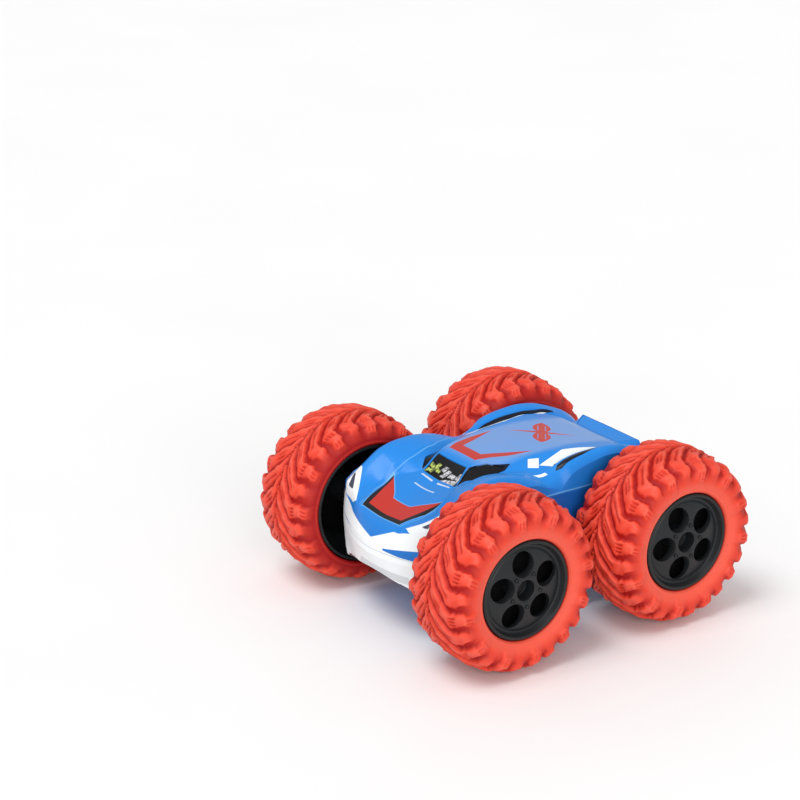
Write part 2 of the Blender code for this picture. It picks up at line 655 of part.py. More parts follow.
make_shells()
make_wheels()
make_gears()
make_chassis()
make_fasteners()
make_electrics()
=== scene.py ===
# %% [markdown]
# # A double-sided stunt car
# Two mirrored body shells clipped round one chassis, four oversized soft tyres on black rims,
# and a gear train on each side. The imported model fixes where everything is. This lesson gives
# each piece its real shape and finish: first the tools, then the body, the wheels and the rest.

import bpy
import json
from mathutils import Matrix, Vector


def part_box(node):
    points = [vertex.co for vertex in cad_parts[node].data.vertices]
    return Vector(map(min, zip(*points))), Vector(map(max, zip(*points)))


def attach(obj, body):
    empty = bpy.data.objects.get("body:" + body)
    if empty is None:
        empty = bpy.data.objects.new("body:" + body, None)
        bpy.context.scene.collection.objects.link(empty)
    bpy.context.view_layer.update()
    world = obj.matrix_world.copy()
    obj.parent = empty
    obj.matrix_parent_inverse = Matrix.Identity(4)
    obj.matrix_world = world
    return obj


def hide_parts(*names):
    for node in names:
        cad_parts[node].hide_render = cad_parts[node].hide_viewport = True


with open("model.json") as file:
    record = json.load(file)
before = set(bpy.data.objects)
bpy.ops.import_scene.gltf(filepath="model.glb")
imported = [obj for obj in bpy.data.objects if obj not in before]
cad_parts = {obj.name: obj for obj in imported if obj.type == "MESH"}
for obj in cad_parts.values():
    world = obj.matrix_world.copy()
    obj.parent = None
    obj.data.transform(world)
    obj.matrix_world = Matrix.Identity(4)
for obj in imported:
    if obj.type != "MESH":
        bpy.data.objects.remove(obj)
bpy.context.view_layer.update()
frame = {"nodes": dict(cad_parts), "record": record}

import json
import math

import bmesh
import bpy
import numpy as np
from mathutils import Matrix, Vector

MM = 0.001
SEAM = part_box("tyre_front_left")[1].z / 2 / MM          # height where the shells meet
bpy.context.scene.view_settings.view_transform = "Standard"

# %% [markdown]
# ## The picture
# A long lens from the front left, a little above, keeps the wheels almost the same size. The
# camera comes first, so that every later step can be looked at through it. The floor is plain
# and pale. The light is a white room and two very soft suns, one high over the nose and one low
# beside the camera, which light the whole floor alike and keep the tyres' flanks bright.

# %% Camera
VIEW_FROM = Vector((0.9298, -0.7192, 0.5389))
AZIMUTH, ELEVATION, ROLL = (math.radians(angle) for angle in (54.77, 20.38, 0.198))
LEVEL = math.cos(ELEVATION)
backward = Vector((math.sin(AZIMUTH) * LEVEL, -math.cos(AZIMUTH) * LEVEL, math.sin(ELEVATION)))
right = Vector((math.cos(AZIMUTH), math.sin(AZIMUTH), 0))
facing = Matrix((right, backward.cross(right), backward)).transposed() @ Matrix.Rotation(ROLL, 3, "Z")
lens = bpy.data.cameras.new("camera")
lens.lens, lens.sensor_width, lens.clip_end = 113.99, 36.0, 20.0
camera = bpy.data.objects.new("camera", lens)
camera.matrix_world = Matrix.Translation(VIEW_FROM) @ facing.to_4x4()
bpy.context.scene.collection.objects.link(camera)
bpy.context.scene.camera = camera
print("camera at", tuple(round(v, 3) for v in VIEW_FROM), "with a", lens.lens, "mm lens")


# %% Suns and the white room
def soft_sun(name, towards, strength, spread_degrees):
    sun = bpy.data.lights.new(name, "SUN")
    sun.energy, sun.angle = strength, math.radians(spread_degrees)
    obj = bpy.data.objects.new(name, sun)
    obj.rotation_euler = Vector(towards).to_track_quat("Z", "Y").to_euler()
    bpy.context.scene.collection.objects.link(obj)
    return obj


soft_sun("sun_over_nose", (0.05, -0.42, 0.90), 1.5, 30.0)
soft_sun("sun_by_camera", (0.92, -0.42, 0.34), 1.45, 40.0)
room = bpy.data.worlds.new("white_room")
room.use_nodes = True
room.node_tree.nodes["Background"].inputs["Color"].default_value = (1.0, 1.0, 1.0, 1)
room.node_tree.nodes["Background"].inputs["Strength"].default_value = 0.60
bpy.context.scene.world = room
print("two soft suns and a white room")

# %% [markdown]
# ## Writing materials and trees as expressions
# Every colour here comes from nodes. Linked one by one, they are hard to read, so one small
# class wraps a socket and lets Python's own operators add the maths nodes, and one method makes
# any other node from its type, its settings and the values of its sockets.


# %% Values that do arithmetic
class Value:
    """A socket in a tree. Adding, multiplying and so on make the maths nodes."""

    def __init__(self, tree, socket):
        self.tree, self.socket = tree, socket

    def maths(self, operation, *others):
        return self.tree.node("ShaderNodeMath", {"operation": operation}, enumerate((self, *others)))

    def __add__(self, other): return self.maths("ADD", other)
    def __sub__(self, other): return self.maths("SUBTRACT", other)
    def __rsub__(self, other): return self.maths("MULTIPLY_ADD", -1.0, other)
    def __mul__(self, other): return self.maths("MULTIPLY", other)
    def __truediv__(self, other): return self.maths("DIVIDE", other)
    def __abs__(self): return self.maths("ABSOLUTE")
    def sine(self): return self.maths("SINE")
    def smaller(self, other): return self.maths("MINIMUM", other)
    def larger(self, other): return self.maths("MAXIMUM", other)
    def clipped(self): return self.larger(0.0).smaller(1.0)
    def above(self, edge, soft): return ((self - edge) / soft + 0.5).clipped()
    def between(self, low, high, soft): return self.above(low, soft) * (1.0 - self.above(high, soft))
    __radd__, __rmul__ = __add__, __mul__


print("values ready")

# %% A tree that makes its nodes
class Tree:
    """A node tree under construction, of a material or of Geometry Nodes."""

    def __init__(self, tree):
        self.tree = tree

    def node(self, kind, settings=(), sockets=(), output=0):
        made = self.tree.nodes.new(kind)
        for key, value in dict(settings).items():
            if key == "stops":
                while len(made.color_ramp.elements) < len(value):
                    made.color_ramp.elements.new(0.5)
                for element, (place, colour) in zip(made.color_ramp.elements, value):
                    element.position, element.color = place, (*colour, 1)
            else:
                setattr(made, key, value)
        for key, value in dict(sockets).items():
            if isinstance(value, Value):
                self.tree.links.new(value.socket, made.inputs[key])
            else:
                made.inputs[key].default_value = value
        return Value(self, made.outputs[output])


print("trees ready")

# %% A material
class Finish(Tree):
    """A Principled material. Numbers the same all over stand on its sockets; nodes feed the rest."""

    def __init__(self, name, **steady):
        self.material = bpy.data.materials.new(name)
        self.material.use_nodes = True
        super().__init__(self.material.node_tree)
        self.shader = self.tree.nodes["Principled BSDF"]
        for key, value in steady.items():
            label = key.replace("_", " ").title().replace("Ior", "IOR")
            self.shader.inputs[label].default_value = value
        self.place = self.node("ShaderNodeTexCoord", output=3)
        split = self.tree.nodes.new("ShaderNodeSeparateXYZ")
        self.tree.links.new(self.place.socket, split.inputs[0])
        self.x, self.y, self.z = (Value(self, socket) * (1 / MM) for socket in split.outputs)

    def feed(self, **values):
        for key, value in values.items():
            self.tree.links.new(value.socket, self.shader.inputs[key.replace("_", " ").title()])
        return self.material

    def noise(self, scale, detail=2.0, roughness=0.5, stretch=(1, 1, 1)):
        place = self.node("ShaderNodeVectorMath", {"operation": "MULTIPLY"}, {0: self.place, 1: stretch})
        sizes = {"Vector": place, "Scale": scale, "Detail": detail, "Roughness": roughness}
        return self.node("ShaderNodeTexNoise", {}, sizes)

    def blend(self, mask, first, second):
        """The second colour over the first where the mask is 1."""
        return self.node("ShaderNodeMix", {"data_type": "RGBA"},
                         {0: mask, 6: self.colour(first), 7: self.colour(second)}, output=2)

    def colour(self, given):
        return given if isinstance(given, Value) else (*given, 1)

    def bump(self, height, strength=0.3, distance=0.0002):
        sizes = {"Strength": strength, "Distance": distance, "Height": height}
        return self.node("ShaderNodeBump", {}, sizes)


print("materials ready")

# %% [markdown]
# ## The body's form
# The body is one moulded skin: a cabin between four fenders. It is written as half sections
# across the car, each a line through the cabin's edge, the valley beside it and the fender's
# ridge and crest. A patch of Bezier or a subdivided cage could hold it too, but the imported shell
# is made from these sections, so the fine skin uses the same ones and only rounds them.

# %% Half sections, in millimetres
# y, centre height, then (x, z) of the cabin's edge, the valley and the fender's inner ridge, and
# the heights of the fender's crest and of its outer crease.
SECTIONS = (
    (-77.0, 57.0, (17.0, 57.8), (19.0, 57.6), (21.0, 57.8), 58.5, 56.5),
    (-72.0, 58.6, (17.5, 60.2), (19.5, 59.9), (21.5, 60.1), 61.8, 59.0),
    (-65.0, 60.8, (18.0, 62.4), (20.0, 61.9), (23.0, 62.4), 67.0, 63.0),
    (-58.0, 63.0, (18.0, 64.6), (20.5, 64.1), (24.0, 65.0), 71.9, 68.0),
    (-48.7, 65.9, (18.0, 68.0), (20.0, 69.0), (24.0, 72.4), 77.6, 73.4),
    (-39.6, 68.7, (13.8, 69.9), (20.0, 73.3), (24.0, 75.8), 79.6, 75.4),
    (-30.2, 77.8, (12.2, 78.2), (20.6, 73.8), (24.0, 77.4), 80.0, 75.6),
    (-25.0, 80.2, (13.4, 79.9), (21.2, 74.1), (25.0, 77.5), 79.5, 75.0),
    (-18.5, 80.7, (15.0, 80.5), (22.2, 74.7), (26.0, 76.8), 78.2, 73.6),
    (-10.0, 80.8, (17.6, 80.1), (25.4, 75.6), (29.0, 75.8), 75.2, 72.6),
    (-2.0, 80.9, (20.2, 79.9), (29.8, 75.2), (33.0, 73.9), 71.9, 69.6),
    (5.0, 80.9, (21.4, 79.9), (30.8, 75.6), (32.6, 76.4), 74.4, 67.6),
    (13.0, 80.6, (22.6, 80.0), (30.6, 76.4), (31.8, 79.2), 79.7, 73.8),
    (24.0, 79.6, (25.0, 79.9), (30.6, 77.2), (31.7, 80.5), 81.8, 77.1),
    (35.0, 78.4, (28.0, 79.0), (30.9, 77.0), (31.9, 80.6), 82.3, 78.8),
    (46.0, 76.9, (27.4, 77.2), (30.8, 75.4), (31.8, 79.0), 81.0, 77.7),
    (54.0, 75.2, (22.6, 75.3), (29.6, 72.9), (31.5, 76.4), 78.4, 75.0),
    (60.0, 71.9, (16.9, 72.3), (26.4, 70.0), (31.4, 73.4), 75.9, 72.6),
    (66.0, 72.7, (20.2, 72.9), (25.4, 68.0), (31.0, 70.6), 73.0, 69.2),
    (70.0, 73.4, (22.3, 73.4), (25.4, 66.4), (31.0, 68.4), 70.2, 66.6),
    (72.0, 66.6, (22.3, 66.8), (25.4, 64.6), (31.0, 66.6), 68.6, 65.0),
    (76.0, 60.0, (22.0, 60.0), (25.0, 60.2), (31.0, 61.6), 64.6, 61.6),
)
FRONT_EDGE = np.array(((0, -77.0), (10, -76.6), (20, -74.6), (30, -69.8), (36, -69.0), (40, -64.0)))
REAR_EDGE = np.array(((0, 76.0), (22, 75.5), (36, 74.0), (40, 71.8)))
CREST_X, EDGE_X, SEAM_X = 36.0, 40.0, 41.0
LAYERS, SIDES = {"upper": 1, "lower": -1}, {"left": 1, "right": -1}
BELT, LIP, GAP, WALL, HALF_LENGTH = 66.0, 3.0, 0.3, 1.5, 79.0
STATION = np.array([row[0] for row in SECTIONS])
print(len(SECTIONS), "sections from", STATION[0], "to", STATION[-1], "mm")


# %% Smooth curves through the sections
def smooth_through(places, values, at):
    """A monotone cubic: it rounds the shape between the places and never overshoots them."""
    places, values, at = (np.asarray(v, float) for v in (places, values, at))
    step = np.diff(places)
    slope = np.diff(values) / step
    tangent = np.zeros_like(values)
    tangent[0], tangent[-1] = slope[0], slope[-1]
    same_way = slope[:-1] * slope[1:] > 0
    near, far = np.where(same_way, slope[:-1], 1.0), np.where(same_way, slope[1:], 1.0)
    heavy, light = 2 * step[1:] + step[:-1], step[1:] + 2 * step[:-1]
    tangent[1:-1] = np.where(same_way, (heavy + light) / (heavy / near + light / far), 0.0)
    i = np.clip(np.searchsorted(places, at, side="right") - 1, 0, len(step) - 1)
    t = np.clip((at - places[i]) / step[i], 0, 1)
    return ((2 * t**3 - 3 * t**2 + 1) * values[i] + (t**3 - 2 * t**2 + t) * step[i] * tangent[i]
            + (3 * t**2 - 2 * t**3) * values[i + 1] + (t**3 - t**2) * step[i] * tangent[i + 1])


def knots(y):
    """x and z of the section's corners at y, each shaped (corners, points), with one past the centre."""
    def along(values):
        return smooth_through(STATION, values, y)
    xs, zs = ([along([row[k][axis] for row in SECTIONS]) for k in (2, 3, 4)] for axis in (0, 1))
    centre, crest, crease = (along([row[k] for row in SECTIONS]) for k in (1, 5, 6))
    one = np.ones_like(centre)
    return (np.stack([-xs[0], 0 * one, *xs, CREST_X * one, EDGE_X * one, 60 * one]),
            np.stack([zs[0], centre, *zs, crest, crease, crease + 5 * (crease - crest)]))


print("cabin edge half way along is at x =", round(float(knots(np.array([5.0]))[0][2, 0]), 1))


# %% [markdown]
# A moulding has no knife edges, so the section's corners are rounded by averaging it over a small
# width. The average of a line made of straight pieces has an exact form: the difference of its
# running sum at both ends. The width is large in the middle of the hood and along the fender's
# crest, where the real form is soft, and small at the creases.

# %% Height of the skin
def running_sum(xs, zs, at):
    total = 0.0
    for i in range(len(xs) - 1):
        length = xs[i + 1] - xs[i]
        inside = np.clip(at - xs[i], 0, length)
        total = total + zs[i] * inside + (zs[i + 1] - zs[i]) / length * inside**2 / 2
    return total


def fade(value, full, none):
    """1 at the first place, 0 at the second, smooth between and steady beyond."""
    t = np.clip((np.asarray(value, float) - none) / (full - none), 0, 1)
    return t * t * (3 - 2 * t)


def bell(value, centre, width):
    return np.exp(-(((value - centre) / width) ** 2))


def height(x, y):
    """z of the upper skin above the point x, y, all in millimetres."""
    x, y = np.broadcast_arrays(np.abs(np.asarray(x, float)), np.asarray(y, float))
    xs, zs = knots(y)
    width = 0.4 + 5.0 * bell(x, 0, 6.5) + 1.3 * bell(x, CREST_X, 1.7)
    z = (running_sum(xs, zs, x + width) - running_sum(xs, zs, x - width)) / (2 * width)
    z = z + 0.55 * bell(y, -41.3, 0.7) * fade(x, 10.5, 12.5)        # the bar below the windscreen
    z = z + 0.45 * bell(y, -48.0, 0.6) * fade(x, 7.0, 8.5)          # the bar on the hood
    z = z - 1.0 * bell(x, xs[3], 0.55) * fade(y, 12, 6) * fade(y, 48, 56)       # the slot by the fender
    v_line = y + 3.6 - 0.42 * x
    v_step = fade(v_line, 0.5, -0.3) * fade(v_line, 4.0, 9.0)
    return z - 0.22 * v_step * fade(x, 9.0, 12.0) * fade(y, -5, -6)


print("roof height", round(float(height(0, -5)), 2), "mm, crest", round(float(height(36, 35)), 2), "mm")


# %% Meshes from points and faces
def grid_faces(rows, columns, offset=0, flip=False, wrap=False):
    """Quads of a grid stored row by row; wrap joins the last column to the first."""
    across = columns if wrap else columns - 1
    r, c = np.meshgrid(np.arange(rows - 1), np.arange(across), indexing="ij")
    d = (c + 1) % columns
    here, ahead = r * columns, (r + 1) * columns
    quads = np.stack([here + c, here + d, ahead + d, ahead + c], -1).reshape(-1, 4) + offset
    return (quads[:, ::-1] if flip else quads).tolist()


def border(grid):
    """The points round a grid's edge, in order."""
    return np.concatenate([grid[0, :-1], grid[:-1, -1], grid[-1, :0:-1], grid[:0:-1, 0]])


def new_object(name, points, faces, material=None):
    """An object whose mesh holds its place; points are in millimetres."""
    mesh = bpy.data.meshes.new(name)
    mesh.from_pydata(np.asarray(points, float) * MM, [], faces)
    mesh.validate()
    if material:
        mesh.materials.append(material)
    obj = bpy.data.objects.new(name, mesh)
    bpy.context.scene.collection.objects.link(obj)
    return obj


def drop(obj):
    bpy.data.objects.remove(obj, do_unlink=True)


def settle(obj, sharp=35.0):
    """Applies the modifiers, and shades smooth except over sharp edges."""
    graph = bpy.context.evaluated_depsgraph_get()
    mesh = bpy.data.meshes.new_from_object(obj.evaluated_get(graph), depsgraph=graph)
    obj.modifiers.clear()
    obj.data = mesh
    mesh.name = obj.name
    mesh.shade_smooth()
    mesh.set_sharp_from_angle(angle=math.radians(sharp))
    return obj


def cut(obj, cutter, operation="DIFFERENCE"):
    modifier = obj.modifiers.new("cut", "BOOLEAN")
    modifier.operation, modifier.object, modifier.solver = operation, cutter, "EXACT"
    return obj


def circle_point(radius, i, count):
    return radius * math.cos(math.tau * i / count), radius * math.sin(math.tau * i / count)


def prism(outline, low, high):
    """Points and faces of an outline seen from above, carried from one height to another."""
    count = len(outline)
    points = [(x, y, z) for z in (low, high) for x, y in outline]
    sides = [(i, (i + 1) % count, count + (i + 1) % count, count + i) for i in range(count)]
    return points, [tuple(range(count))[::-1], tuple(range(count, 2 * count)), *sides]


def round_bar(radius, start, end, sides=32, flare=0.0, flared=1.2):
    """Points and faces of a closed bar along X; flare widens its last stretch."""
    rings = ((start, radius), (end - flared, radius), (end, radius + flare))
    points = [(x, *circle_point(r, i, sides)) for x, r in rings for i in range(sides)]
    caps = [tuple(range(sides))[::-1], tuple(range(2 * sides, 3 * sides))]
    return points, caps + grid_faces(3, sides, wrap=True)


def joined(parts):
    """Several (points, faces) as one, each moved by its own offset."""
    points, faces = [], []
    for (own_points, own_faces), offset in parts:
        faces += [tuple(i + len(points) for i in face) for face in own_faces]
        points += [tuple(np.add(point, offset)) for point in own_points]
    return points, faces


print("mesh helpers ready")

# %% [markdown]
# ## The body shells
# The real shell is injection moulded: one wall about a millimetre and a half thick. Its outside is
# the skin above, then a skirt that falls over a crease to an upright lip at the seam. A Solidify
# modifier would fold over itself at the tight creases, so the inside wall is written too: the same
# points drawn in a little. Windows, axle holes and the battery door are then cut through.


# %% Points along a stretch, closer together near its ends
def spread(start, end, inner, margin):
    """Arrays of points from start towards end, the end left out."""
    start, end = np.asarray(start, float), np.asarray(end, float)
    gap = end - start
    length = np.abs(gap) if gap.ndim == 1 else np.linalg.norm(gap, axis=1, keepdims=True)
    near = np.minimum(margin, 0.2 * length) / np.maximum(length, 1e-6)
    middle = [k / inner for k in range(1, inner)]
    shares = [0 * near, near / 2, near, *[k + (1 - 2 * k) * near for k in middle], 1 - near, 1 - near / 2]
    return [start + gap * share for share in shares]


def front_seam(x):
    return -81.0 + 13.6 * (np.abs(x) / SEAM_X) ** 1.7


def rear_seam(x):
    return 78.0 - 3.5 * (np.abs(x) / SEAM_X) ** 2


print("seam from", front_seam(0), "to", rear_seam(0), "mm on the centre line")

# %% The skin's top, as a grid of points
ROW_STRETCHES = ((-77, -50, 1.1), (-50, -38, 0.5), (-38, -22, 0.9), (-22, 56, 1.5), (56, 76, 0.8))
NOSE_FROM, TAIL_FROM = -58, 60              # past these the rows bend to follow the ends' outline
row_y = np.concatenate([*(np.arange(*stretch) for stretch in ROW_STRETCHES), [76.0]])
corner_x = knots(row_y)[0][1:7]
half = []
for index, inner in enumerate((10, 5, 3, 3, 3)):
    half += spread(corner_x[index], corner_x[index + 1], inner, 0.7)
half.append(corner_x[5])
top_x = np.stack([-column for column in half[:0:-1]] + half, axis=1)
front_share = np.clip((row_y + 77) / 19, 0, 1)[:, None]
rear_share = np.clip((row_y - TAIL_FROM) / 16, 0, 1)[:, None]
front_y = smooth_through(*FRONT_EDGE.T, np.abs(top_x))
rear_y = smooth_through(*REAR_EDGE.T, np.abs(top_x)) + 0.4
top_y = np.broadcast_to(row_y[:, None], top_x.shape)
top_y = np.where(top_y < NOSE_FROM, front_y * (1 - front_share) + NOSE_FROM * front_share, top_y)
top_y = np.where(top_y > TAIL_FROM, TAIL_FROM * (1 - rear_share) + rear_y * rear_share, top_y)
top = np.stack([top_x, top_y, height(top_x, top_y)], -1)
print("skin grid", *top.shape[:2])


# %% The skirt, ring by ring down to the seam
brim = border(top)
on_side = fade(np.abs(brim[:, 0]), 39.8, 36.5)[:, None]
corners = (front_y[0, 0], rear_y[0, 0])
seam_ends = (front_seam(EDGE_X), rear_seam(EDGE_X))
end_y = np.where(brim[:, 1] < 0, front_seam(brim[:, 0]), rear_seam(brim[:, 0]))
outer_y = np.where(np.abs(brim[:, 0]) > EDGE_X - 0.01, np.interp(brim[:, 1], corners, seam_ends), end_y)
outer = np.stack([brim[:, 0] * SEAM_X / EDGE_X, outer_y], -1)
belt_z = (brim[:, 2:] - 2.5) * (1 - on_side) + np.minimum(BELT, brim[:, 2:] - 1.5) * on_side
belt = np.hstack([brim[:, :2] + (outer - brim[:, :2]) * (0.3 + 0.4 * on_side), belt_z])
lip, seam = (np.hstack([outer, np.full((len(brim), 1), SEAM + rise)]) for rise in (LIP, GAP / 2))
skirt = np.stack([*spread(brim, belt, 3, 0.6), *spread(belt, lip, 5, 0.6), *spread(lip, seam, 2, 0.4), seam])
print("skirt of", len(skirt), "rings round", len(brim), "points")


# %% One closed wall from the skin, and its mirror image below
def from_sheets(name, sheets, layer):
    """Grids of points, each (grid, flip, wrap), as one object; layer -1 mirrors it about the seam."""
    points, faces = [], []
    for sheet, flip, wrap in sheets:
        faces += grid_faces(*sheet.shape[:2], offset=len(points), flip=flip != (layer < 0), wrap=wrap)
        points += sheet.reshape(-1, 3).tolist()
    points = np.array(points)
    points[:, 2] = SEAM + layer * (points[:, 2] - SEAM)
    return weld(new_object(name, points, faces))


def shell_wall(name, layer):
    drawn_in = (1 - WALL / SEAM_X, 1 - WALL / HALF_LENGTH, 1)
    fall = np.linspace(1, 0, len(skirt))[:, None, None]
    inside_top, inside_skirt = top * drawn_in - (0, 0, WALL), skirt * drawn_in - fall * (0, 0, WALL)
    seam_face = np.stack([skirt[-1], inside_skirt[-1]])
    return from_sheets(name, [(top, False, False), (skirt, True, True), (inside_top, True, False),
                              (inside_skirt, False, True), (seam_face, True, True)], layer)


def weld(obj, outward=False):
    bm = bmesh.new()
    bm.from_mesh(obj.data)
    bmesh.ops.remove_doubles(bm, verts=bm.verts, dist=2e-6)
    if outward:
        bmesh.ops.recalc_face_normals(bm, faces=bm.faces)
    open_edges = sum(len(edge.link_faces) != 2 for edge in bm.edges)
    bm.to_mesh(obj.data)
    bm.free()
    print(obj.name, len(obj.data.polygons), "faces,", open_edges, "open edges")
    return obj


print("wall", WALL, "mm thick")

# %% Outlines of the openings, seen from above
WINDSCREEN = ((-13.1, -39.0), (13.1, -39.0), (11.5, -30.8), (-11.5, -30.8))
SIDE_WINDOW = ((14.6, -38.4), (19.2, -33.0), (21.2, -20.0), (20.4, -14.6), (15.8, -21.6), (13.4, -30.0))
REAR_WING = ((-16.0, 60.8), (16.0, 60.8), (21.4, 69.4), (-21.4, 69.4))
DOOR = ((-13.0, -20.0), (13.0, -20.0), (13.0, 31.0), (-13.0, 31.0))
SWITCH_SLOT = ((-4.4, 40.2), (4.4, 40.2), (4.4, 43.8), (-4.4, 43.8))
SHELL_SCREWS, SCREW_HOLE_RADIUS = ((20.0, -52.0), (17.0, 50.0)), 2.9
AXLE_Y, AXLE_HOLE_RADIUS = 49.5, 4.0
CUT_HEIGHTS = {1: (50, 95), -1: (-7, 38)}   # tall enough for any outline, on each side of the seam


def mirrored(outline, side):
    return outline if side > 0 else [(-x, y) for x, y in reversed(outline)]


def inset(outline, distance):
    """An outline listed anticlockwise with every side moved in."""
    points = [Vector(point) for point in outline]
    moved = []
    for i, point in enumerate(points):
        before = (point - points[i - 1]).normalized()
        after = (points[(i + 1) % len(points)] - point).normalized()
        inward = Vector((-before.y, before.x)) + Vector((-after.y, after.x))
        moved.append(tuple(point + inward * (distance / (1 + before.dot(after)))))
    return moved


def z_bar(radius, x, y, low, high):
    """A round hole's cutter, upright."""
    return prism([tuple(np.add((x, y), circle_point(radius, i, 24))) for i in range(24)], low, high)


print("openings outlined")

# %% Cutters
def shell_cutter(layer):
    outlines = [WINDSCREEN, SIDE_WINDOW, mirrored(SIDE_WINDOW, -1), REAR_WING] + [DOOR] * (layer < 0)
    parts = [(prism(inset(outline, -GAP / 2), *CUT_HEIGHTS[layer]), (0, 0, 0)) for outline in outlines]
    for y in (-AXLE_Y, AXLE_Y):
        parts += [(round_bar(AXLE_HOLE_RADIUS, x, x + 10, 24), (0, y, SEAM)) for x in (36, -46)]
    if layer < 0:
        parts.append((prism(SWITCH_SLOT, *CUT_HEIGHTS[layer]), (0, 0, 0)))
        parts += [(z_bar(SCREW_HOLE_RADIUS, side * x, y, -5, 26), (0, 0, 0))
                  for x, y in SHELL_SCREWS for side in (1, -1)]
    return weld(new_object("shell_cutter", *joined(parts)), outward=True)


shells = {}
for name, layer in LAYERS.items():
    wall, cutter = shell_wall(f"body_shell_{name}", layer), shell_cutter(layer)
    shells[name] = settle(cut(wall, cutter), sharp=40)
    drop(cutter)
    print(name, "shell", len(shells[name].data.polygons), "faces after cutting")

# %% [markdown]
# ## Windows, wing and battery door
# Each of these is a separate moulding that fills its opening, so it follows the same skin a hair
# lower or higher. A small closed patch of the skin is trimmed to the outline, a gap inside it.


# %% Pieces that fill an opening
def skin_patch(name, outline, layer, lift, thick, spacing=0.6):
    xs, ys = np.array(outline).T
    across, along = (np.linspace(v.min() - 1, v.max() + 1, int((np.ptp(v) + 2) / spacing) + 2)
                     for v in (xs, ys))
    x, y = np.meshgrid(across, along)
    z = height(x, y) + lift
    outside, inside = np.stack([x, y, z], -1), np.stack([x, y, z - thick], -1)
    edge = np.stack([border(outside), border(inside)])
    piece = from_sheets(name, [(outside, False, False), (inside, True, False), (edge, True, True)], layer)
    trim_shape = prism(inset(outline, GAP / 2), *CUT_HEIGHTS[layer])
    trim = weld(new_object("trim", *trim_shape), outward=True)
    settle(cut(piece, trim, "INTERSECT"))
    drop(trim)
    return piece


panels = {}
for name, layer in LAYERS.items():
    panels[f"{name}_windscreen"] = skin_patch(f"windscreen_{name}", WINDSCREEN, layer, -0.25, 1.2)
    for side_name, side in SIDES.items():
        panels[f"{name}_side_window_{side_name}"] = skin_patch(
            f"side_window_{name}_{side_name}", mirrored(SIDE_WINDOW, side), layer, -0.25, 1.2)
    panels[f"{name}_rear_wing"] = skin_patch(f"tail_wing_{name}", REAR_WING, layer, 0.0, 1.4, 0.8)
door = skin_patch("battery_cover", DOOR, -1, 0.0, 1.4, 1.0)
print(len(panels) + 1, "panels")

# %% [markdown]
# ## Paint
# The shells are moulded in blue and printed: a red chevron edged in black on the hood, another on
# the roof, a white sweep beside the cabin and a white nose. An image would be the usual way to
# print them. Here every printed shape is a mask worked out from the place on the body: the
# distance inside each side of an outline is one dot product, the smallest of them is the distance
# inside the shape, and a narrow ramp on it gives a crisp printed edge.


# %% Printed shapes
class Print(Finish):
    def shape(self, plane, outline, grow=0.0, soft=0.16):
        """1 inside a convex outline, listed anticlockwise on that plane, 0 outside; grow widens it."""
        inside = None
        for (ax, ay), (bx, by) in zip(outline, [*outline[1:], outline[0]]):
            length = math.hypot(bx - ax, by - ay)
            inward = (-(by - ay) / length, (bx - ax) / length)
            line = (*inward, -(inward[0] * ax + inward[1] * ay))
            distance = self.node("ShaderNodeVectorMath", {"operation": "DOT_PRODUCT"},
                                 {0: plane, 1: line}, output=1)
            inside = distance if inside is None else inside.smaller(distance)
        return inside.above(-grow, soft)

    def shapes(self, plane, *outlines, grow=0.0):
        found = self.shape(plane, outlines[0], grow)
        for outline in outlines[1:]:
            found = found.larger(self.shape(plane, outline, grow))
        return found

    def plane(self, first, second):
        return self.node("ShaderNodeCombineXYZ", {}, {0: first, 1: second, 2: 1.0})


print("print tools ready")


# %% The planes that the body's prints are drawn on
class BodyPrint(Print):
    def __init__(self, name, **steady):
        super().__init__(name, **steady)
        self.out, self.over_seam = abs(self.x), self.z - SEAM
        self.rise = abs(self.over_seam)
        self.above, self.above_signed = self.plane(self.out, self.y), self.plane(self.x, self.y)
        self.ahead, self.behind = self.plane(self.x, self.z), self.plane(self.out, self.rise)
        self.on_top = self.rise.above(13.6, 0.6)

    def top(self, *outlines, grow=0.0):
        """Shapes seen from above, on the skin but not on the skirt."""
        return self.shapes(self.above, *outlines, grow=grow) * self.on_top


def strips(corners, width):
    """Slanted boxes along a line of corners."""
    return [[(ax, ay), (ax + width, ay), (bx + width, by), (bx, by)]
            for (ax, ay), (bx, by) in zip(corners, corners[1:])]


print("planes ready")


# %% Hood, roof and emblem
def hood_and_roof(paint):
    hood = [[(-1, -73.9), (15.6, -73.9), (18.9, -65.0), (13, -61.4), (-1, -61.4)],
            [(15.6, -73.9), (20.0, -61.5), (20.9, -48.6), (10.0, -58.7), (6.0, -61.4)]]
    red = [[(-1, -71.4), (13.6, -71.3), (16.6, -62.4), (13, -61.4), (-1, -61.4)],
           [(13.6, -71.3), (17.2, -61.0), (20.6, -49.4), (10.0, -58.7), (6.0, -61.4)]]
    roof = [[(-1, -25.1), (10.4, -25.1), (12.5, -20.0), (7.3, -18.9), (-1, -18.9)],
            [(10.4, -25.1), (12.5, -20.0), (15.6, -8.0), (17.0, 6.0), (9.2, -13.6), (7.3, -18.9)]]
    # Painted highlight: a light edge round the hood print and along the fender's inner crease below.
    crease = [(17.0, -74.5), (20.8, -62.7), (21.2, -50.6), (21.6, -38.8), (24.0, -24.8), (29.5, -9.7)]
    # Painted highlight: light lines on the two raised bars; the same white also serves the printed shapes.
    bars = [[(-1, -48.3), (8.0, -48.3), (8.0, -47.5), (-1, -47.5)],
            [(2.0, -41.9), (11.5, -41.6), (11.5, -40.7), (2.0, -41.0)]]
    edge_line = paint.top(*hood, grow=0.55).larger(paint.top(*strips(crease, 0.5)))
    return {"hood_black": paint.top(*hood), "hood_red": paint.top(*red), "roof_red": paint.top(*roof),
            "bars": paint.top(*bars), "edge_line": edge_line}


